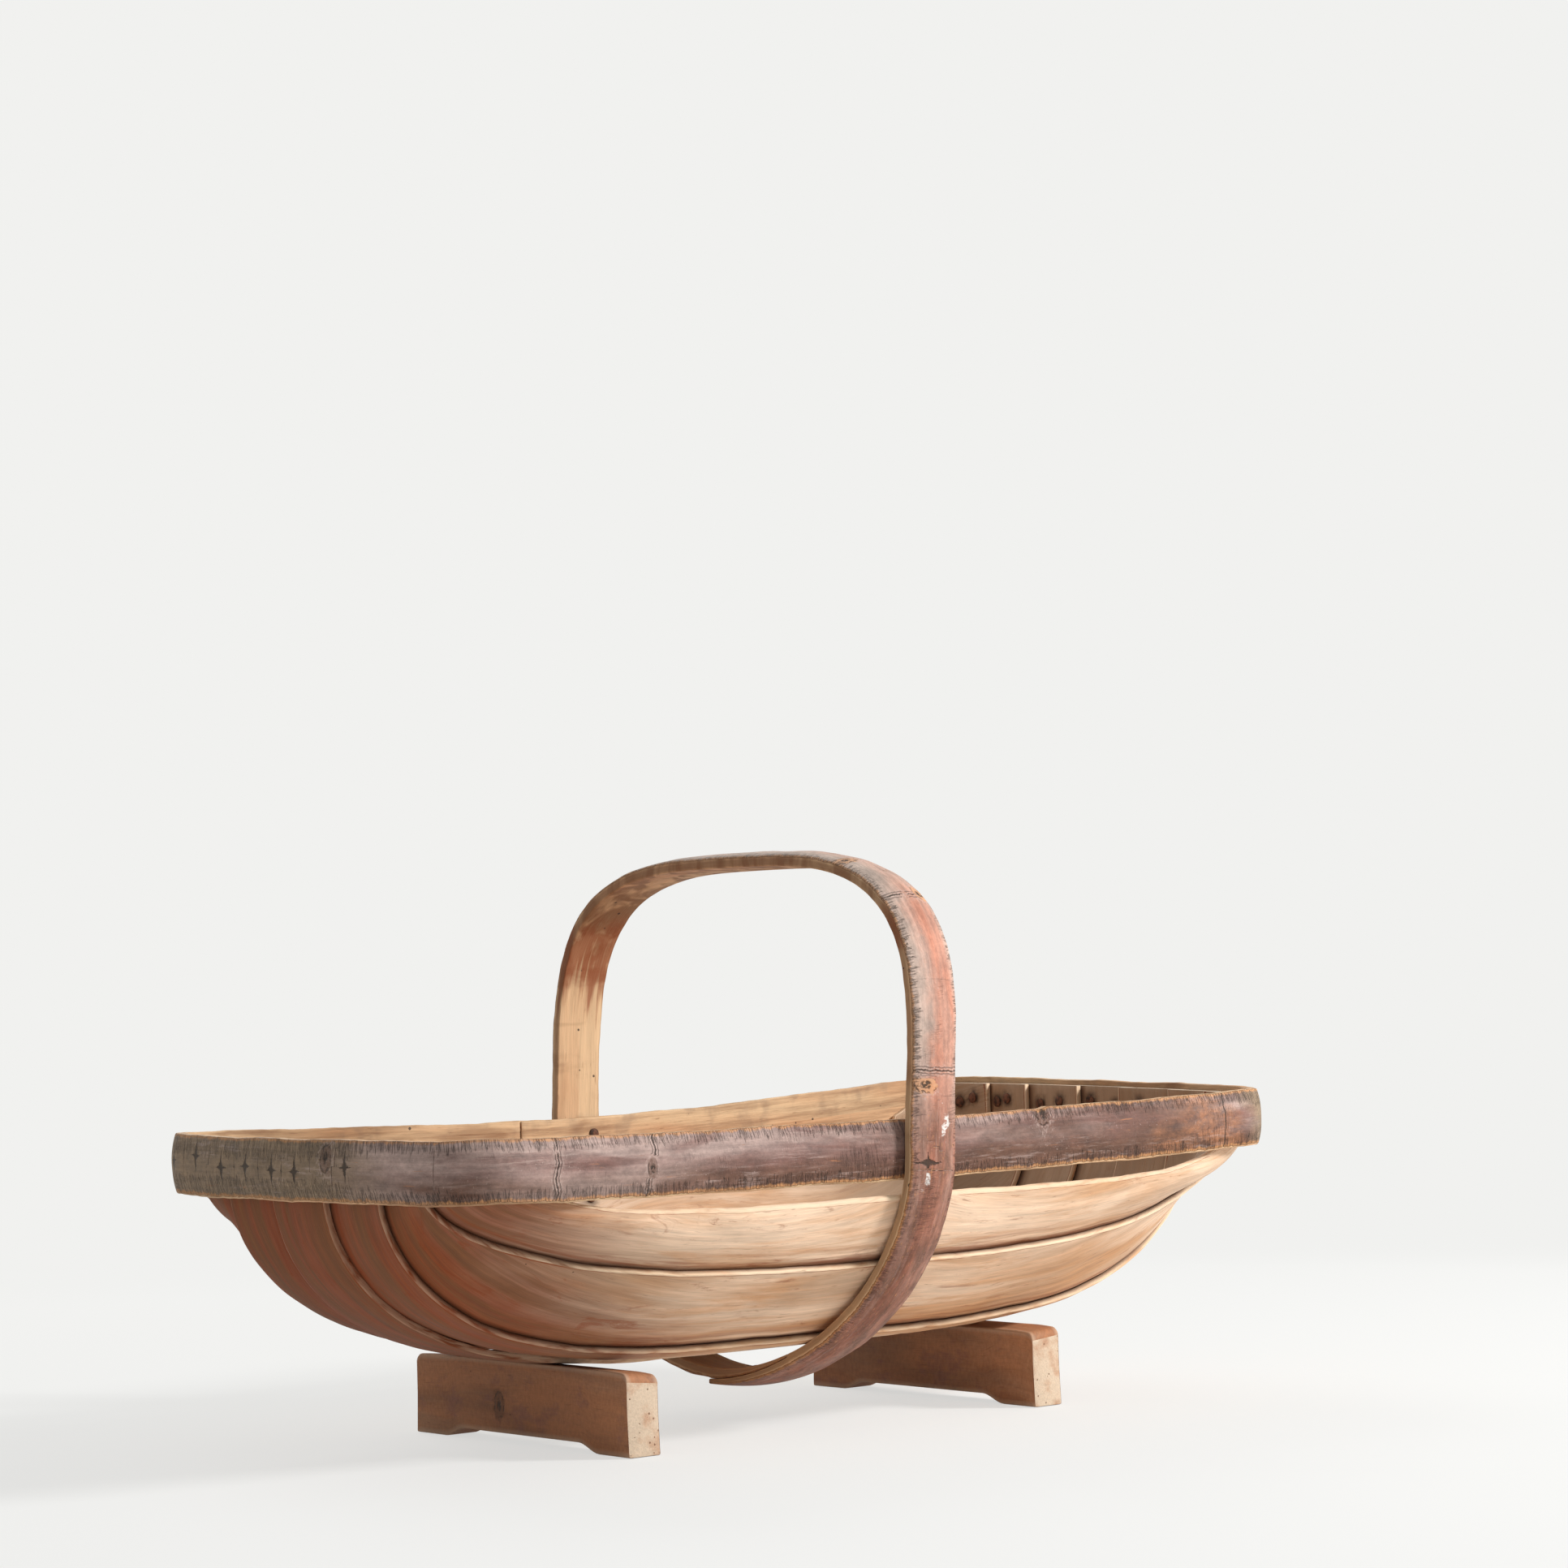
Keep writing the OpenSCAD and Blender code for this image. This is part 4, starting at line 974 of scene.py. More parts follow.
def rim_marks():
    """Nail points, knots, creases and the split in the rim's bark: place along, height, kind."""
    stars = [(0.7747, 0.0197), (0.8053, 0.0234), (0.8381, 0.0173), (0.8672, 0.0187),
             (0.8960, 0.0171), (0.9198, 0.0167), (0.9685, 0.0201)]
    knots = [(0.9507, 0.0250), (1.4646, 0.0328), (0.312, 0.022)]
    small_knots = [(1.1668, 0.0158), (0.69, 0.011), (1.93, 0.014)]
    creases = [(1.1690, 0.0300), (1.1645, 0.0040), (1.1022, 0.0187), (1.1022, 0.0300), (0.62, 0.018)]
    splits = [(1.6210, 0.0060), (1.6215, 0.0180), (1.6205, 0.0300)]
    groups = ((STAR, stars), (KNOT, knots), (SMALL_KNOT, small_knots), (CREASE, creases), (SPLIT, splits))
    return [(q, h, kind) for kind, group in groups for q, h in group]


class TRUG_OT_rim(Operator):
    """Bends the cleft rim strip round the trug, with its bark, its knots and its scarf joint"""

    bl_idname = "trug.rim"
    bl_label = "Rim strip"

    def execute(self, context):
        s, c = context.scene.trug_sizes, context.scene.trug_colours
        lines = Lines(s)
        first, last = lines.quarter - s.rim_scarf/2, lines.quarter + s.rim_scarf/2
        turn = 4*lines.quarter
        rings = int((turn + s.rim_scarf)/s.ring_spacing)
        q = np.linspace(first, turn + last, rings)
        start, end = ramp((q - first)/s.rim_scarf), ramp((q - turn - first)/s.rim_scarf)
        slope = mix(lines.rim_edge - lines.tip, lines.tip, start)
        inner = np.where(q < last, slope + lines.clear, 0.0)
        edge = np.where(q > turn + first, mix(lines.rim_edge - lines.tip, lines.tip, end), lines.rim_edge)
        dome = np.where(q > turn + first, 0.0, s.rim_dome)
        offset, height = band_section(inner, edge, dome, s.rim_depth, s.worn_edge)
        middle = rings//2
        across = np.tile(round_section(offset[middle], height[middle]), (rings, 1))
        plan, normal = lines.plan(q), lines.plan_normal(q)
        along = lengths_along(plan + normal*s.rim_thickness)
        covered = (q < last) | (q > turn + first)
        lumps = bark_lumps(offset, edge, along, across, 11, 0.0009)
        offset = np.where(covered[:, None], offset, lumps)
        height = bark_edges(height, s.rim_depth, along, 21, 0.0008)
        step = 0.0014*smoothstep(q, 1.4650, 1.4700)*smoothstep(q, 1.55, 1.50)
        height = height + (height/s.rim_depth)**4*step[:, None] - 0.0004*(height/s.rim_depth)**4
        level = lines.rim_low + lines.rise(plan[:, 0], plan[:, 1])
        flat = plan[:, None, :] + normal[:, None, :]*offset[..., None]
        points = np.concatenate([flat, (level[:, None] + height)[..., None]], -1)
        crown = s.rim_depth/2
        marks = [(np.interp(m, q, along), h - crown, kind) for m, h, kind in rim_marks()]
        spots = nearest_marks(np.tile(along[:, None], (1, across.shape[1])), across, marks)
        piece = swept_piece("rim_bark_strip", points, np.tile(along[:, None], (1, across.shape[1])), across, spots)
        blunt_ends(piece, 0.0004)
        bark = material_once("Rim bark and cleft wood", band_material, c, s.rim_depth/2, True)
        ends = material_once("Cut wood ends", end_material, c)
        finish_piece(piece, (bark, ends), "rim_bark", "rim")
        return {"FINISHED"}


class TRUG_OT_handle(Operator):
    """Bends the cleft handle strip over the top and under the boards, where its ends lap"""

    bl_idname = "trug.handle"
    bl_label = "Handle hoop"

    def execute(self, context):
        s, c = context.scene.trug_sizes, context.scene.trug_colours
        lines = Lines(s)
        lap_turn = math.degrees(math.asin(s.handle_lap/lines.hoop_half))
        lap_last = -86.5
        lap_first = lap_last - lap_turn
        angles = np.linspace(lap_first, 360 + lap_last, 4001)
        path = lines.hoop_point(angles)
        run = lengths_along(path)
        rings = int(run[-1]/s.ring_spacing*1.05)
        along = np.linspace(0, run[-1], rings)
        line = np.stack([np.interp(along, run, path[:, k]) for k in (0, 1)], -1)
        a = np.interp(along, run, angles)
        course = unit(np.gradient(line, axis=0))
        normal = np.stack([course[:, 1], -course[:, 0]], -1)
        lap = np.where(a < lap_last, (a - lap_first)/lap_turn, (a - 360 - lap_first)/lap_turn)
        lap = ramp(lap)
        start, end = a < lap_last, a > 360 + lap_first
        wedge = mix(lines.tip, lines.handle_edge, lap)
        inner = np.where(end, wedge + lines.clear, 0.0)
        outer_tip = 0.003
        edge = np.where(start, wedge, lines.handle_edge)
        edge = np.where(end, lines.handle_edge + lap*(lines.clear + outer_tip), edge)
        dome = np.where(start, 0.0, s.handle_dome*ramp((a + 87)/9))
        dome = np.where(end, s.handle_dome*(1 - 0.7*lap), dome)
        offset, height = band_section(inner, edge, dome, s.handle_width, s.worn_edge)
        middle = rings//2
        across = np.tile(round_section(offset[middle], height[middle]), (rings, 1))
        lumps = bark_lumps(offset, edge, along, across, 41, 0.0008)
        offset = np.where((start | end)[:, None], offset, lumps)
        height = bark_edges(height, s.handle_width, along, 51, 0.0008)
        flat = line[:, None, :] + normal[:, None, :]*offset[..., None]
        points = lines.lean(np.concatenate([(height - s.handle_width/2)[..., None], flat], -1))

        def leg_place(z):
            near = np.where(line[:, 0] < 0, np.abs(line[:, 1] - z), 1.0)
            return along[np.argmin(near)]

        def turn_place(degrees):
            return np.interp(degrees, a, along)

        marks = [(turn_place(137.5), 0.0120, 2), (turn_place(116), -0.0110, 2), (turn_place(139), 0.002, 3),
                 (leg_place(0.205), -0.0097, 2), (leg_place(0.1598), -0.0075, 1),
                 (leg_place(0.2142), -0.0080, 3), (leg_place(0.2137), 0.0020, 3), (leg_place(0.2137), 0.0120, 3),
                 (leg_place(0.1840), 0.0070, 5), (leg_place(0.1785), 0.0040, 5), (leg_place(0.1515), -0.0070, 5),
                 (turn_place(62), 0.006, 2), (turn_place(35), -0.008, 3), (turn_place(-30), 0.005, 2)]
        wide = np.tile(along[:, None], (1, across.shape[1]))
        spots = nearest_marks(wide, across, marks)
        piece = swept_piece("handle_bark_strip", points, wide, across, spots)
        blunt_ends(piece, 0.0004)
        bark = material_once("Handle bark and cleft wood", band_material, c, s.handle_width/2 + 0.0022, False)
        ends = material_once("Cut wood ends", end_material, c)
        finish_piece(piece, (bark, ends), "handle_bark", "handle")
        return {"FINISHED"}


# Where each board is nailed to the rim, across it in boards and along it to the end; the centre
# board is number 1 and the side boards are number 4
END_NAILS = {1: [(-0.5, 1.35), (0.5, 1.5)], 2: [(1.25, 1.45), (1.6, 1.35)],
             3: [(2.25, 1.5), (2.6, 1.38)], 4: [(3.12, 1.5), (3.34, 1.35), (3.56, 1.15)]}
FOOT_NAILS = (-0.42, 0.42)


def board_nails(lines, board, side):
    """Places and inward directions of a board's nails, those at the ends first."""
    s = lines.s
    places = [(g, end*w, True) for g, w in END_NAILS[board] for end in (LEFT, RIGHT)]
    if board > 1:
        places.append((board - 0.32, 0.0001, False))
    seat = lines.corner_seat if board == 4 else lines.head_seat
    nails = []
    for g, w, at_end in places:
        g, w = np.array([g]), np.array([w])
        inward = lines.face_inward(board, g, w, side)[0]
        nails.append((lines.face(board, g, w, side, s.board_thickness)[0] + inward*seat, inward, at_end))
    return nails


def board_rows(lines, board, side, spacing):
    """Places along a board, crowded evenly by length from its left end to its right end."""
    w = np.linspace(-2, 2, 1601)
    g = 0.0 if board == 1 else board - 0.5
    run = lengths_along(lines.bowl(g, w, side))
    count = int(run[-1]/spacing)
    return np.interp(np.linspace(0, run[-1], count), run, w)


def board_section(low, high, low_scale, high_scale, thick, worn, brow, steps=21):
    """Outlines of a board from the middle of its lower edge round its outer face and back inside.

    low and high are its edges, counted in boards, the scales are metres to a board there, and brow
    is the radius of its upper outer corner. Returns places across and depths, ring by ring, and the
    name of the face that each column lies on."""
    turn = np.linspace(0, math.pi/2, 4)
    s, c = 1 - np.sin(turn), 1 - np.cos(turn)
    low, high, thick = low[:, None], high[:, None], thick[:, None]
    low_r, high_r, brow_r = (worn/low_scale)[:, None], (worn/high_scale)[:, None], (brow/high_scale)[:, None]
    share = np.concatenate([[0.012, 0.03], np.linspace(0.06, 0.94, steps - 4), [0.97, 0.988]])
    zero = 0*low
    outer = (mix(low + low_r, high - brow_r, share), zero + 0*share)
    inner = (mix(low + low_r, high - high_r, share[::-1]), thick + 0*share)
    parts = [(low, thick/2), (low + low_r*c, zero + worn*s), outer, (high - brow_r*s, zero + brow*c),
             (high - high_r*c, thick - worn*s), inner, (low + low_r*s, thick - worn*c), (low, thick/2)]
    kinds = ["low", "low", "outer", "high", "groove", "inner", "low", "low"]
    names = np.concatenate([[kind]*part[0].shape[1] for kind, part in zip(kinds, parts)])
    across = np.concatenate([part[0] for part in parts], 1)
    depth = np.concatenate([part[1] for part in parts], 1)
    return across, depth, names


def round_lengths(points):
    """Running length round each ring of points."""
    steps = np.linalg.norm(np.diff(points, axis=1), axis=2)
    return np.concatenate([np.zeros((len(points), 1)), np.cumsum(steps, 1)], 1)


def board_tones(board, across, scale, names, s):
    """Where a board is a lip, paled for wear and a painted highlight, where grime and painted shade darken its laps,
    and its face near its lower lap.
    """
    low, high = (-1, 1) if board == 1 else (board - 1 - s.lap_share, board)
    from_high = np.where(names == "outer", (high - across)*scale, 1.0)
    from_low = np.where(names == "inner", (across - low)*scale, 1.0)
    if board == 1:
        from_high = np.where(names == "outer", (1 - np.abs(across))*scale, 1.0)
        from_low = np.ones_like(across)
    rims = np.isin(names, ("low", "high", "groove")).astype(float)
    lip = np.maximum(rims, 1 - smoothstep(np.minimum(from_high, from_low), 0.0001, 0.0019))
    # Painted shade with grime in the laps: where the board comes out from under the lower one, where the next board
    # covers its inner face, and in its groove
    shade_and_dirt, seam = np.zeros_like(across), np.zeros_like(across)
    if board > 1:
        above = (across - board + 1)*scale
        shade_and_dirt = np.where(names == "outer", 1 - smoothstep(above, 0.0004, 0.0045), 0)
        seam = np.where(names == "outer", 1 - smoothstep(above, 0.002, 0.018), 0)
    if board < 4:
        covered = (np.abs(across) - board + s.lap_share)*scale
        shade_and_dirt = np.maximum(shade_and_dirt, np.where(names == "inner", smoothstep(covered, -0.0045, -0.0004), 0))
        shade_and_dirt = np.maximum(shade_and_dirt, (names == "groove").astype(float))
    return lip, shade_and_dirt, seam


class TRUG_OT_boards(Operator):
    """Bends the seven thin boards, each lapped inside the one below it and upright at the rim"""

    bl_idname = "trug.boards"
    bl_label = "Boards"

    def execute(self, context):
        s, c = context.scene.trug_sizes, context.scene.trug_colours
        self.lines = Lines(s)
        wood = material_once("Shaved willow", board_material, c)
        ends = material_once("Cut wood ends", end_material, c)
        names = {(1, FAR): "centre_board", (2, NEAR): "near_second_board", (2, FAR): "far_second_board",
                 (3, NEAR): "near_third_board", (3, FAR): "far_third_board",
                 (4, NEAR): "near_side_board", (4, FAR): "far_side_board"}
        for (board, side), node in names.items():
            slot = "brown_board" if board == 2 else "pale_board"
            piece = self.plank(s, board, side, node.replace("board", "plank"))
            finish_piece(piece, (wood, ends), slot, node)
        return {"FINISHED"}

    def plank(self, s, board, side, name):
        lines = self.lines
        w = board_rows(lines, board, side, s.ring_spacing)
        low, high = (-1.0, 1.0) if board == 1 else (board - 1 - s.lap_share, float(board))
        seed = 100 + 10*board + 3*side

        def scale(g):
            return np.linalg.norm(lines.bowl(g + 0.01, w, side) - lines.bowl(g - 0.01, w, side), axis=1)/0.02

        inner_edge = 0.99 if board == 1 else 0.0
        low_scale, high_scale = scale(low + inner_edge*0.02), scale(high - 0.02)
        middle = lines.bowl((low + high)/2, w, side)
        along = lengths_along(middle)
        free = 1 - smoothstep(np.abs(w), 0.9, 1.05)
        top = high + free*(0.0007*ripple(along, seed, 0.15) + 0.0002*ripple(along, seed + 1, 0.03))/high_scale
        foot = low + free*(0.0007*ripple(along, seed + 2, 0.17))/low_scale
        thick = s.board_thickness*(1 - 0.06*ramp(ripple(along, seed + 3, 0.21)))
        worn, brow = 0.8*s.worn_edge, (2.6 if board == 4 else 1.0)*s.worn_edge
        g, depth, names = board_section(foot, top, low_scale, high_scale, thick, worn, brow)
        wide = np.tile(w[:, None], (1, g.shape[1]))
        points = self.rippled(lines.face(board, g, wide, side, depth), g, wide, side, board)
        across = round_lengths(points)
        g_scale = np.tile(((low_scale + high_scale)/2)[:, None], (1, g.shape[1]))
        lip, shade_and_dirt, seam = board_tones(board, g, g_scale, np.tile(names, (len(w), 1)), s)
        heads = np.array([place for place, inward, at_end in board_nails(lines, board, side)])
        away = np.min(np.linalg.norm(points[:, :, None, :] - heads, axis=3), axis=2)
        tones = {"inside": np.tile((names == "inner").astype(float), (len(w), 1)), "lip": lip, "lap": shade_and_dirt, "seam": seam,
                 "nail_stain": 1 - smoothstep(away, 0.0032, 0.0085)}
        along = np.tile(along[:, None], (1, g.shape[1])) + 0.83*board + 2.9*side
        piece = swept_piece(name, points, along, across + 0.31*board, None, tones)
        blunt_ends(piece, 0.0004)
        return piece

    def rippled(self, points, g, w, side, board):
        """Moves a board's points a little in and out together, as thin cleft wood lies, and springs
        its upper edge away from the next board near the right end."""
        s, lines = self.lines.s, self.lines
        x = points[..., 0]
        free = (1 - smoothstep(np.abs(w), 0.82, 0.98))*smoothstep(np.abs(x), 0.03, 0.06)
        held = smoothstep(np.abs(np.abs(x) - s.foot_spacing/2), 0.014, 0.035)
        free = free*np.where(np.abs(g) < 1.2, held, 1)
        wave = ripple(x + 0.9*np.abs(g)*0.05 + 0.4*side, 7, 0.19) + 0.4*ripple(x - 0.03*np.abs(g), 8 + side, 0.06)
        inward = lines.bowl_inward(g, w, side)
        move = 0.0007*wave*free
        spring = np.exp(-((w - 0.66 - 0.03*board)/0.10)**2)*smoothstep(np.abs(g), board - 0.5, board)
        if board in (2, 3):
            move = move - 0.0022*spring*(1.0 if side == NEAR else 0.5)*free
        return points + inward*move[..., None]


def foot_lines(s, lines):
    """Height of the board over a foot's middle, and its slope along the trug."""
    def under(x):
        return float(lines.bowl(np.array(0.0), np.array(lines.reach(x)), FAR)[2])
    half = s.foot_spacing/2
    return under(half) - lines.clear, (under(half + 0.001) - under(half - 0.001))/0.002


class TRUG_OT_feet(Operator):
    """Saws the two cross feet, each with a shallow arch between its toes and rounded top corners"""

    bl_idname = "trug.feet"
    bl_label = "Feet"

    def execute(self, context):
        s, c = context.scene.trug_sizes, context.scene.trug_colours
        lines = Lines(s)
        top, slope = foot_lines(s, lines)
        wood = material_once("Foot wood", foot_material, c)
        ends = material_once("Cut wood ends", end_material, c)
        for end, name in ((LEFT, "left_foot"), (RIGHT, "right_foot")):
            piece = self.block(s, end, top, slope, name + "_block")
            finish_piece(piece, (wood, ends), "foot_wood", name)
        return {"FINISHED"}

    def block(self, s, end, top, slope, name):
        half, corner, lean, ease = s.foot_length/2, 0.005, 0.001, 0.020
        reach = half - lean
        body = np.linspace(-(reach - corner), reach - corner, 84)
        turn = np.radians(np.linspace(15, 90, 6))
        cap = reach - corner + corner*np.sin(turn)
        y = np.concatenate([-cap[::-1], body, cap])
        drop = np.concatenate([(corner*(1 - np.cos(turn)))[::-1], 0*body, corner*(1 - np.cos(turn))])
        flat = half - s.foot_toe
        arch = s.foot_arch*(1 - np.cos(math.pi*ramp((flat - np.abs(y))/ease)))/2
        section = self.section(s, s.worn_edge*1.4)
        x, up, names = section
        centre = end*s.foot_spacing/2
        rough = 0.0005*(ripple(y, 300 + end, 0.09) + 0.5*ripple(y, 310 + end, 0.02))
        ceiling = top + slope*x[None, :] - 0.00015 - drop[:, None] - 0.0008*smoothstep(np.abs(y), half - 0.02, half)[:, None]
        z = mix(arch[:, None], ceiling, up[None, :])
        shrink = 1 - 0.03*ramp(0.5 + ripple(y, 330 + end, 0.12))[:, None]
        wide = centre + end*(x[None, :]*shrink + rough[:, None]*(up[None, :] > 0.05)*(up[None, :] < 0.95)*0.4)
        across_y = y[:, None] + np.sign(y)[:, None]*lean*(1 - ramp(z/(top/2)))*smoothstep(np.abs(y), 0.6*half, half)[:, None]
        points = np.stack([wide, across_y + 0*wide, z], -1)
        around = round_lengths(points)
        long = np.tile((y + 1.3*end)[:, None], (1, points.shape[1]))
        knot_y, knot_height = (0.020, 0.35) if end == LEFT else (-0.052, 0.60)
        knot_up = float(around[len(y)//2, np.argmax((x > 0) & (up > knot_height))])
        spots = nearest_marks(long, around, [(1.3*end + knot_y, knot_up, 2)])
        lip = np.tile((names == "corner").astype(float), (len(y), 1))
        piece = swept_piece(name, points, long, around, spots, {"lip": lip})
        blunt_ends(piece, 0.0007)
        return piece

    def section(self, s, worn):
        """A foot's section from the middle of its underside round, as x, share of height and kind."""
        half, tall = s.foot_thickness/2, 0.048
        turn = np.linspace(0, math.pi/2, 4)
        sn, cs = worn*np.sin(turn), worn*np.cos(turn)
        rows = [(x, 0.0, "under") for x in np.linspace(0, half - worn, 5)[:-1]]
        rows += [(half - worn + a, (worn - b)/tall, "corner") for a, b in zip(sn, cs)]
        rows += [(half, v, "side") for v in np.linspace(0.08, 0.92, 12)]
        rows += [(half - worn + b, 1 - (worn - a)/tall, "corner") for a, b in zip(sn, cs)]
        rows += [(x, 1.0, "top") for x in np.linspace(half - worn, -half + worn, 9)[1:-1]]
        rows += [(-half + worn - a, 1 - (worn - b)/tall, "corner") for a, b in zip(sn, cs)]
        rows += [(-half, v, "side") for v in np.linspace(0.92, 0.08, 12)]
        rows += [(-half + worn - b, (worn - a)/tall, "corner") for a, b in zip(sn, cs)]
        rows += [(x, 0.0, "under") for x in np.linspace(-half + worn, 0, 5)[1:]]
        x, up, names = zip(*rows)
        return np.array(x), np.array(up), np.array(names)


class TRUG_OT_nails(Operator):
    """Forges a clout nail of each length and drives copies of it where the trug is nailed"""

    bl_idname = "trug.nails"
    bl_label = "Clout nails"

    def execute(self, context):
        s, c = context.scene.trug_sizes, context.scene.trug_colours
        self.lines = lines = Lines(s)
        self.rust = material_once("Rusted iron", rust_material, c)
        self.chance = np.random.RandomState(17)
        through_rim = s.board_thickness + lines.rim_edge + 0.001
        through_handle = s.board_thickness + lines.handle_edge + 0.002
        names = {(1, FAR): "centre", (2, NEAR): "near_second", (2, FAR): "far_second", (3, NEAR): "near_third",
                 (3, FAR): "far_third", (4, NEAR): "near_side", (4, FAR): "far_side"}
        for (board, side), name in names.items():
            nails = [(place, inward, through_rim if at_end else through_handle)
                     for place, inward, at_end in board_nails(lines, board, side)]
            self.drive(s, nails, name + "_board")
        self.drive(s, self.leg_nails(s), "rim_handle")
        self.drive(s, self.scarf_nails(s) + self.strap_nails(s), "lap")
        for end, name in ((LEFT, "left_foot"), (RIGHT, "right_foot")):
            self.drive(s, self.foot_nails(s, end), name)
        return {"FINISHED"}

    def through_rim_at(self, q, height):
        lines = self.lines
        q = np.array([q])
        plan, normal = lines.plan(q)[0], lines.plan_normal(q)[0]
        flat = plan - normal*lines.clear/2
        place = np.array([flat[0], flat[1], height + float(lines.rise(*plan))])
        return place, np.array([-normal[0], -normal[1], 0.0])

    def leg_nails(self, s):
        lines, nails = self.lines, []
        for side in (FAR, NEAR):
            middle = (lines.quarter if side == FAR else 3*lines.quarter) - side*lines.handle_x
            for aside, up in ((0.008, 0.011), (-0.007, 0.025)):
                place, inward = self.through_rim_at(middle + aside, lines.rim_low + up)
                nails.append((place, inward, s.rim_thickness + lines.handle_edge))
        return nails

    def scarf_nails(self, s):
        lines, nails = self.lines, []
        for end in (LEFT, RIGHT):
            place, inward = self.through_rim_at(
                lines.quarter + end*0.36*s.rim_scarf, lines.rim_low + s.rim_depth/2 + 0.002*end)
            nails.append((place, inward, lines.rim_edge))
        return nails

    def strap_nails(self, s):
        lines, nails = self.lines, []
        lap_turn = math.degrees(math.asin(s.handle_lap/lines.hoop_half))
        for share, aside in ((0.28, -0.006), (0.72, 0.006)):
            angle = np.array([mix(-86.5 - lap_turn, -86.5, share)])
            point, normal = lines.hoop_point(angle)[0], lines.hoop_normal(angle)[0]
            seat = point - normal*lines.head_seat
            ends = lines.lean(np.array([[aside, *seat], [aside, *(seat - normal)]]))
            nails.append((ends[0], unit(ends[1] - ends[0]), lines.handle_edge + 0.0025))
        return nails

    def foot_nails(self, s, end):
        lines, nails = self.lines, []
        for g in FOOT_NAILS:
            g, w = np.array([g]), np.array([end*lines.reach(s.foot_spacing/2)])
            inward = lines.face_inward(1, g, w, FAR)[0]
            place = lines.face(1, g, w, FAR, s.board_thickness)[0] + inward*lines.head_seat
            nails.append((place, inward, s.board_thickness + 0.022))
        return nails

    def clout(self, s, length):
        """One nail with its head's underside at the origin: a domed head inset and drawn from a
        cylinder, and a shank drawn from the head's underside."""
        radius, thick = s.nail_head/2, s.nail_head_thickness
        deselect_all()
        bpy.ops.mesh.primitive_cylinder_add(
            vertices=s.nail_sides, radius=radius, depth=0.55*thick, location=(0, 0, 0.275*thick))
        nail = bpy.context.object
        self.pick_face(nail, 1)
        bpy.ops.mesh.inset(thickness=0.35*radius, depth=0.3*thick)
        bpy.ops.mesh.inset(thickness=0.35*radius, depth=0.15*thick)
        bpy.ops.object.mode_set(mode="OBJECT")
        self.pick_face(nail, -1)
        bpy.ops.mesh.inset(thickness=radius - s.nail_shank/2, depth=0)
        bpy.ops.mesh.extrude_region_move(TRANSFORM_OT_translate={"value": (0, 0, -0.94*length)})
        bpy.ops.mesh.extrude_region_move(TRANSFORM_OT_translate={"value": (0, 0, -0.06*length)})
        bpy.ops.transform.resize(value=(0.4, 0.4, 1), center_override=(0, 0, -length))
        bpy.ops.object.mode_set(mode="OBJECT")
        bevel = nail.modifiers.new("Hammered rim", "BEVEL")
        bevel.width = 0.2*thick
        bevel.segments = 2
        bevel.angle_limit = math.radians(40)
        bpy.ops.object.modifier_apply(modifier=bevel.name)
        bpy.ops.object.transform_apply(location=True, rotation=True, scale=True)
        return nail

    def pick_face(self, nail, up):
        """Selects the face that points straight up or down, in edit mode."""
        deselect_all()
        nail.select_set(True)
        bpy.context.view_layer.objects.active = nail
        bpy.ops.object.mode_set(mode="EDIT")
        bpy.ops.mesh.select_mode(type="FACE")
        bpy.ops.mesh.select_all(action="DESELECT")
        bpy.ops.object.mode_set(mode="OBJECT")
        faces = [face for face in nail.data.polygons if face.normal.z*up > 0.99]
        faces.sort(key=lambda face: face.center.z*up)
        faces[-1].select = True
        bpy.ops.object.mode_set(mode="EDIT")

    def drive(self, s, nails, name):
        """Puts a copy of a nail at each place and joins them."""
        copies = []
        for place, inward, length in nails:
            nail = self.clout(s, length)
            axis = Vector(inward)
            turn = axis.to_track_quat("Z", "Y").to_matrix().to_4x4()
            spin = Matrix.Rotation(self.chance.uniform(0, 6.28), 4, "Z")
            squash = Matrix.Diagonal((self.chance.uniform(0.9, 0.99), self.chance.uniform(0.93, 1.0), 1, 1))
            nail.data.transform(Matrix.Translation(place) @ turn @ spin @ squash)
            nail.data.update()
            copies.append(nail)
        deselect_all()
        for nail in copies:
            nail.select_set(True)
        bpy.context.view_layer.objects.active = copies[0]
        if len(copies) > 1:
            bpy.ops.object.join()
        group = bpy.context.object
        group.name = name + "_clouts"
        group.data.name = group.name
        bpy.ops.object.shade_smooth_by_angle(angle=math.radians(40))
        finish_piece(group, (self.rust,), "nail_iron", name + "_nails")


# Floor, light and camera

def point_at(thing, place, target):
    direction = Vector(target) - Vector(place)
    thing.rotation_euler = direction.to_track_quat("-Z", "Y").to_euler()


def add_softbox(name, place, target, size, watts):
    deselect_all()
    bpy.ops.object.light_add(type="AREA", location=place)
    lamp = bpy.context.object
    lamp.name = name
    lamp.data.shape = "DISK"
    lamp.data.size = size
    lamp.data.energy = watts
    point_at(lamp, place, target)
    return lamp


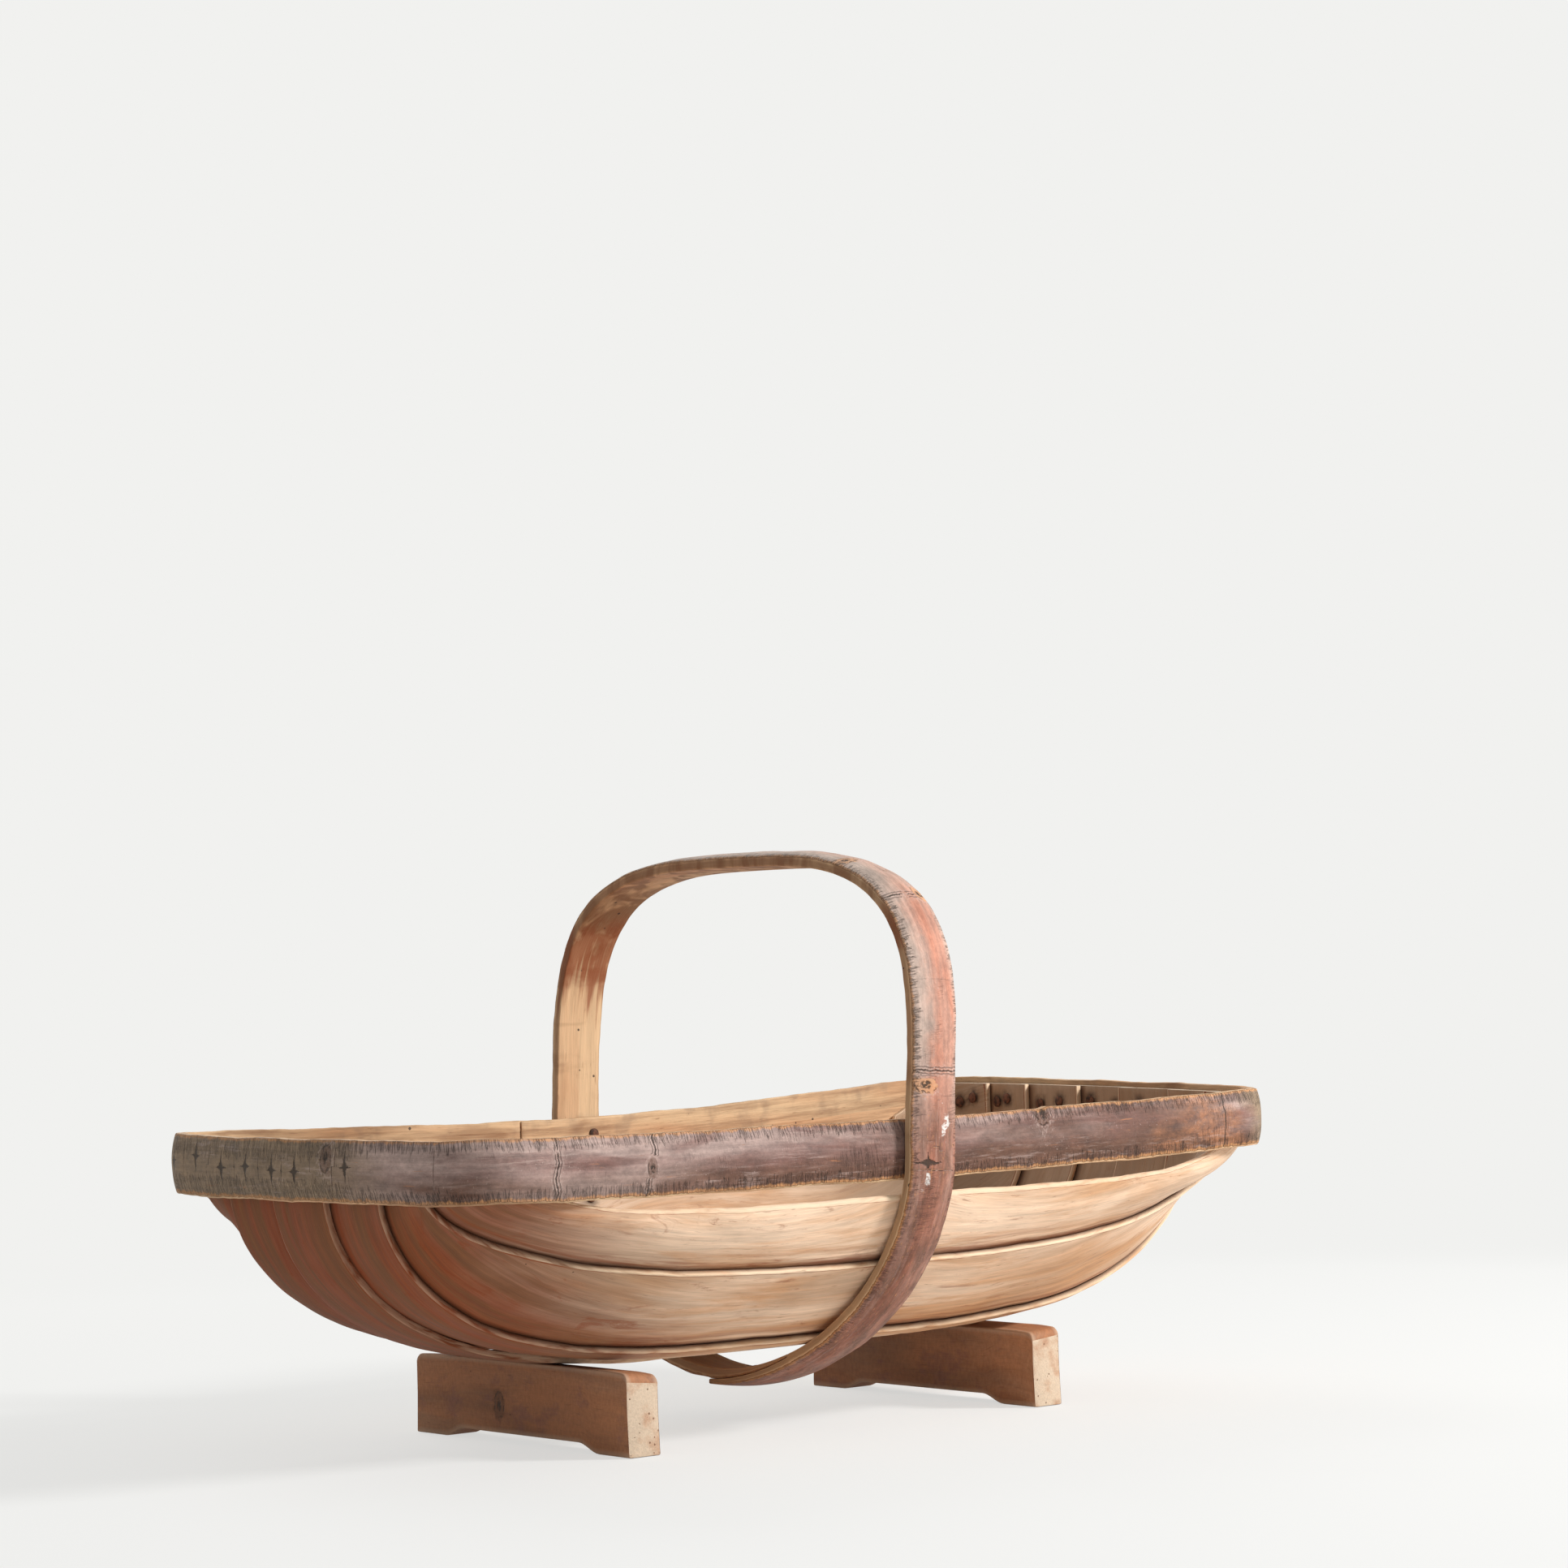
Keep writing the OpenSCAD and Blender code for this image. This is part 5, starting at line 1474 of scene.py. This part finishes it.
def floor_material(name, c):
    """Pale floor that fades into the background with distance, as seen by the camera."""
    material = bpy.data.materials.new(name)
    material.use_nodes = True
    t = material.node_tree
    shader = t.nodes["Principled BSDF"]
    shader.inputs["Base Color"].default_value = (*c.floor, 1)
    shader.inputs["Roughness"].default_value = 0.8
    shader.inputs["Specular IOR Level"].default_value = 0.2
    place = put(t, "TexCoord").outputs["Object"]
    away = put(t, "VectorMath", {"operation": "LENGTH"}, i0=place).outputs["Value"]
    rays = put(t, "LightPath").outputs
    seen = calc(t, "MAXIMUM", rays["Is Camera Ray"], calc(
        t, "MAXIMUM", rays["Is Glossy Ray"], rays["Is Transmission Ray"]))
    share = calc(t, "MULTIPLY", calc(t, "MAXIMUM", step(t, away, 0.55, 1.5), 0.7), seen)
    glow = put(t, "Emission", None, Color=(*c.floor, 1), Strength=1.0)
    both = t.nodes.new("ShaderNodeMixShader")
    t.links.new(share, both.inputs[0])
    t.links.new(shader.outputs[0], both.inputs[1])
    t.links.new(glow.outputs[0], both.inputs[2])
    t.links.new(both.outputs[0], t.nodes["Material Output"].inputs["Surface"])
    return material


def light_world(scene, c, strength):
    """Even light from all round; the camera sees the floor's own pale colour instead."""
    world = bpy.data.worlds.new("Studio")
    world.use_nodes = True
    scene.world = world
    t = world.node_tree
    t.nodes.clear()
    rays = put(t, "LightPath").outputs
    seen = calc(t, "MAXIMUM", rays["Is Camera Ray"], calc(
        t, "MAXIMUM", rays["Is Glossy Ray"], rays["Is Transmission Ray"]))
    sky = put(t, "Background", None, Color=(1, 1, 1, 1), Strength=strength)
    backdrop = put(t, "Background", None, Color=(*c.floor, 1), Strength=1.0)
    both = t.nodes.new("ShaderNodeMixShader")
    t.links.new(seen, both.inputs[0])
    t.links.new(sky.outputs[0], both.inputs[1])
    t.links.new(backdrop.outputs[0], both.inputs[2])
    output = t.nodes.new("ShaderNodeOutputWorld")
    t.links.new(both.outputs[0], output.inputs["Surface"])


class TRUG_OT_stage(Operator):
    """Lays the pale floor, hangs the soft lights and sets the camera"""

    bl_idname = "trug.stage"
    bl_label = "Floor, lights and camera"

    def execute(self, context):
        scene, c = context.scene, context.scene.trug_colours
        deselect_all()
        bpy.ops.mesh.primitive_circle_add(vertices=96, radius=9, fill_type="NGON", location=(0, 0, -0.0003))
        floor = context.object
        floor.name = "studio_floor"
        floor.data.materials.append(floor_material("Studio floor", c))
        light_world(scene, c, 0.38)
        add_softbox("Window light", (1.7, -2.0, 1.6), (0, 0, 0.12), 0.7, 98)
        add_softbox("Back fill", (0.3, 2.4, 1.8), (0, 0, 0.15), 1.8, 26)
        self.place_camera(scene)
        scene.view_settings.view_transform = "Standard"
        return {"FINISHED"}

    def place_camera(self, scene):
        azimuth, elevation, roll = (math.radians(v) for v in (-39.454, -2.532, -1.669))
        back = Vector((math.sin(azimuth)*math.cos(elevation), -math.cos(azimuth)*math.cos(elevation),
                       math.sin(elevation)))
        right = (-back).cross(Vector((0, 0, 1))).normalized()
        up = right.cross(-back)
        right, up = (right*math.cos(roll) + up*math.sin(roll), up*math.cos(roll) - right*math.sin(roll))
        data = bpy.data.cameras.new("Photo view")
        camera = bpy.data.objects.new("Photo view", data)
        scene.collection.objects.link(camera)
        data.sensor_width = 36
        data.lens = 92.28
        data.clip_end = 60
        place = Vector((0.047891, 0, 0.392547)) + back*2.53198
        turn = Matrix((right, up, back)).transposed().to_4x4()
        camera.matrix_world = Matrix.Translation(place) @ turn
        scene.camera = camera


class TRUG_PT_sidebar(Panel):
    bl_idname = "TRUG_PT_sidebar"
    bl_label = "Garden trug"
    bl_space_type = "VIEW_3D"
    bl_region_type = "UI"
    bl_category = "Trug"

    def draw(self, context):
        layout = self.layout
        for operator in OPERATORS:
            layout.operator(operator.bl_idname)
        for group in (context.scene.trug_sizes, context.scene.trug_colours):
            column = layout.column(align=True)
            for name in group.__annotations__:
                column.prop(group, name)


OPERATORS = (TRUG_OT_rim, TRUG_OT_handle, TRUG_OT_boards, TRUG_OT_feet, TRUG_OT_nails, TRUG_OT_stage)
CLASSES = (TrugSizes, TrugColours, *OPERATORS, TRUG_PT_sidebar)


def register():
    for item in CLASSES:
        bpy.utils.register_class(item)
    bpy.types.Scene.trug_sizes = PointerProperty(type=TrugSizes)
    bpy.types.Scene.trug_colours = PointerProperty(type=TrugColours)


def unregister():
    del bpy.types.Scene.trug_colours
    del bpy.types.Scene.trug_sizes
    for item in reversed(CLASSES):
        bpy.utils.unregister_class(item)


def main():
    register()
    bpy.ops.trug.rim()
    bpy.ops.trug.handle()
    bpy.ops.trug.boards()
    bpy.ops.trug.feet()
    bpy.ops.trug.nails()
    bpy.ops.trug.stage()


if __name__ == "__main__":
    main()
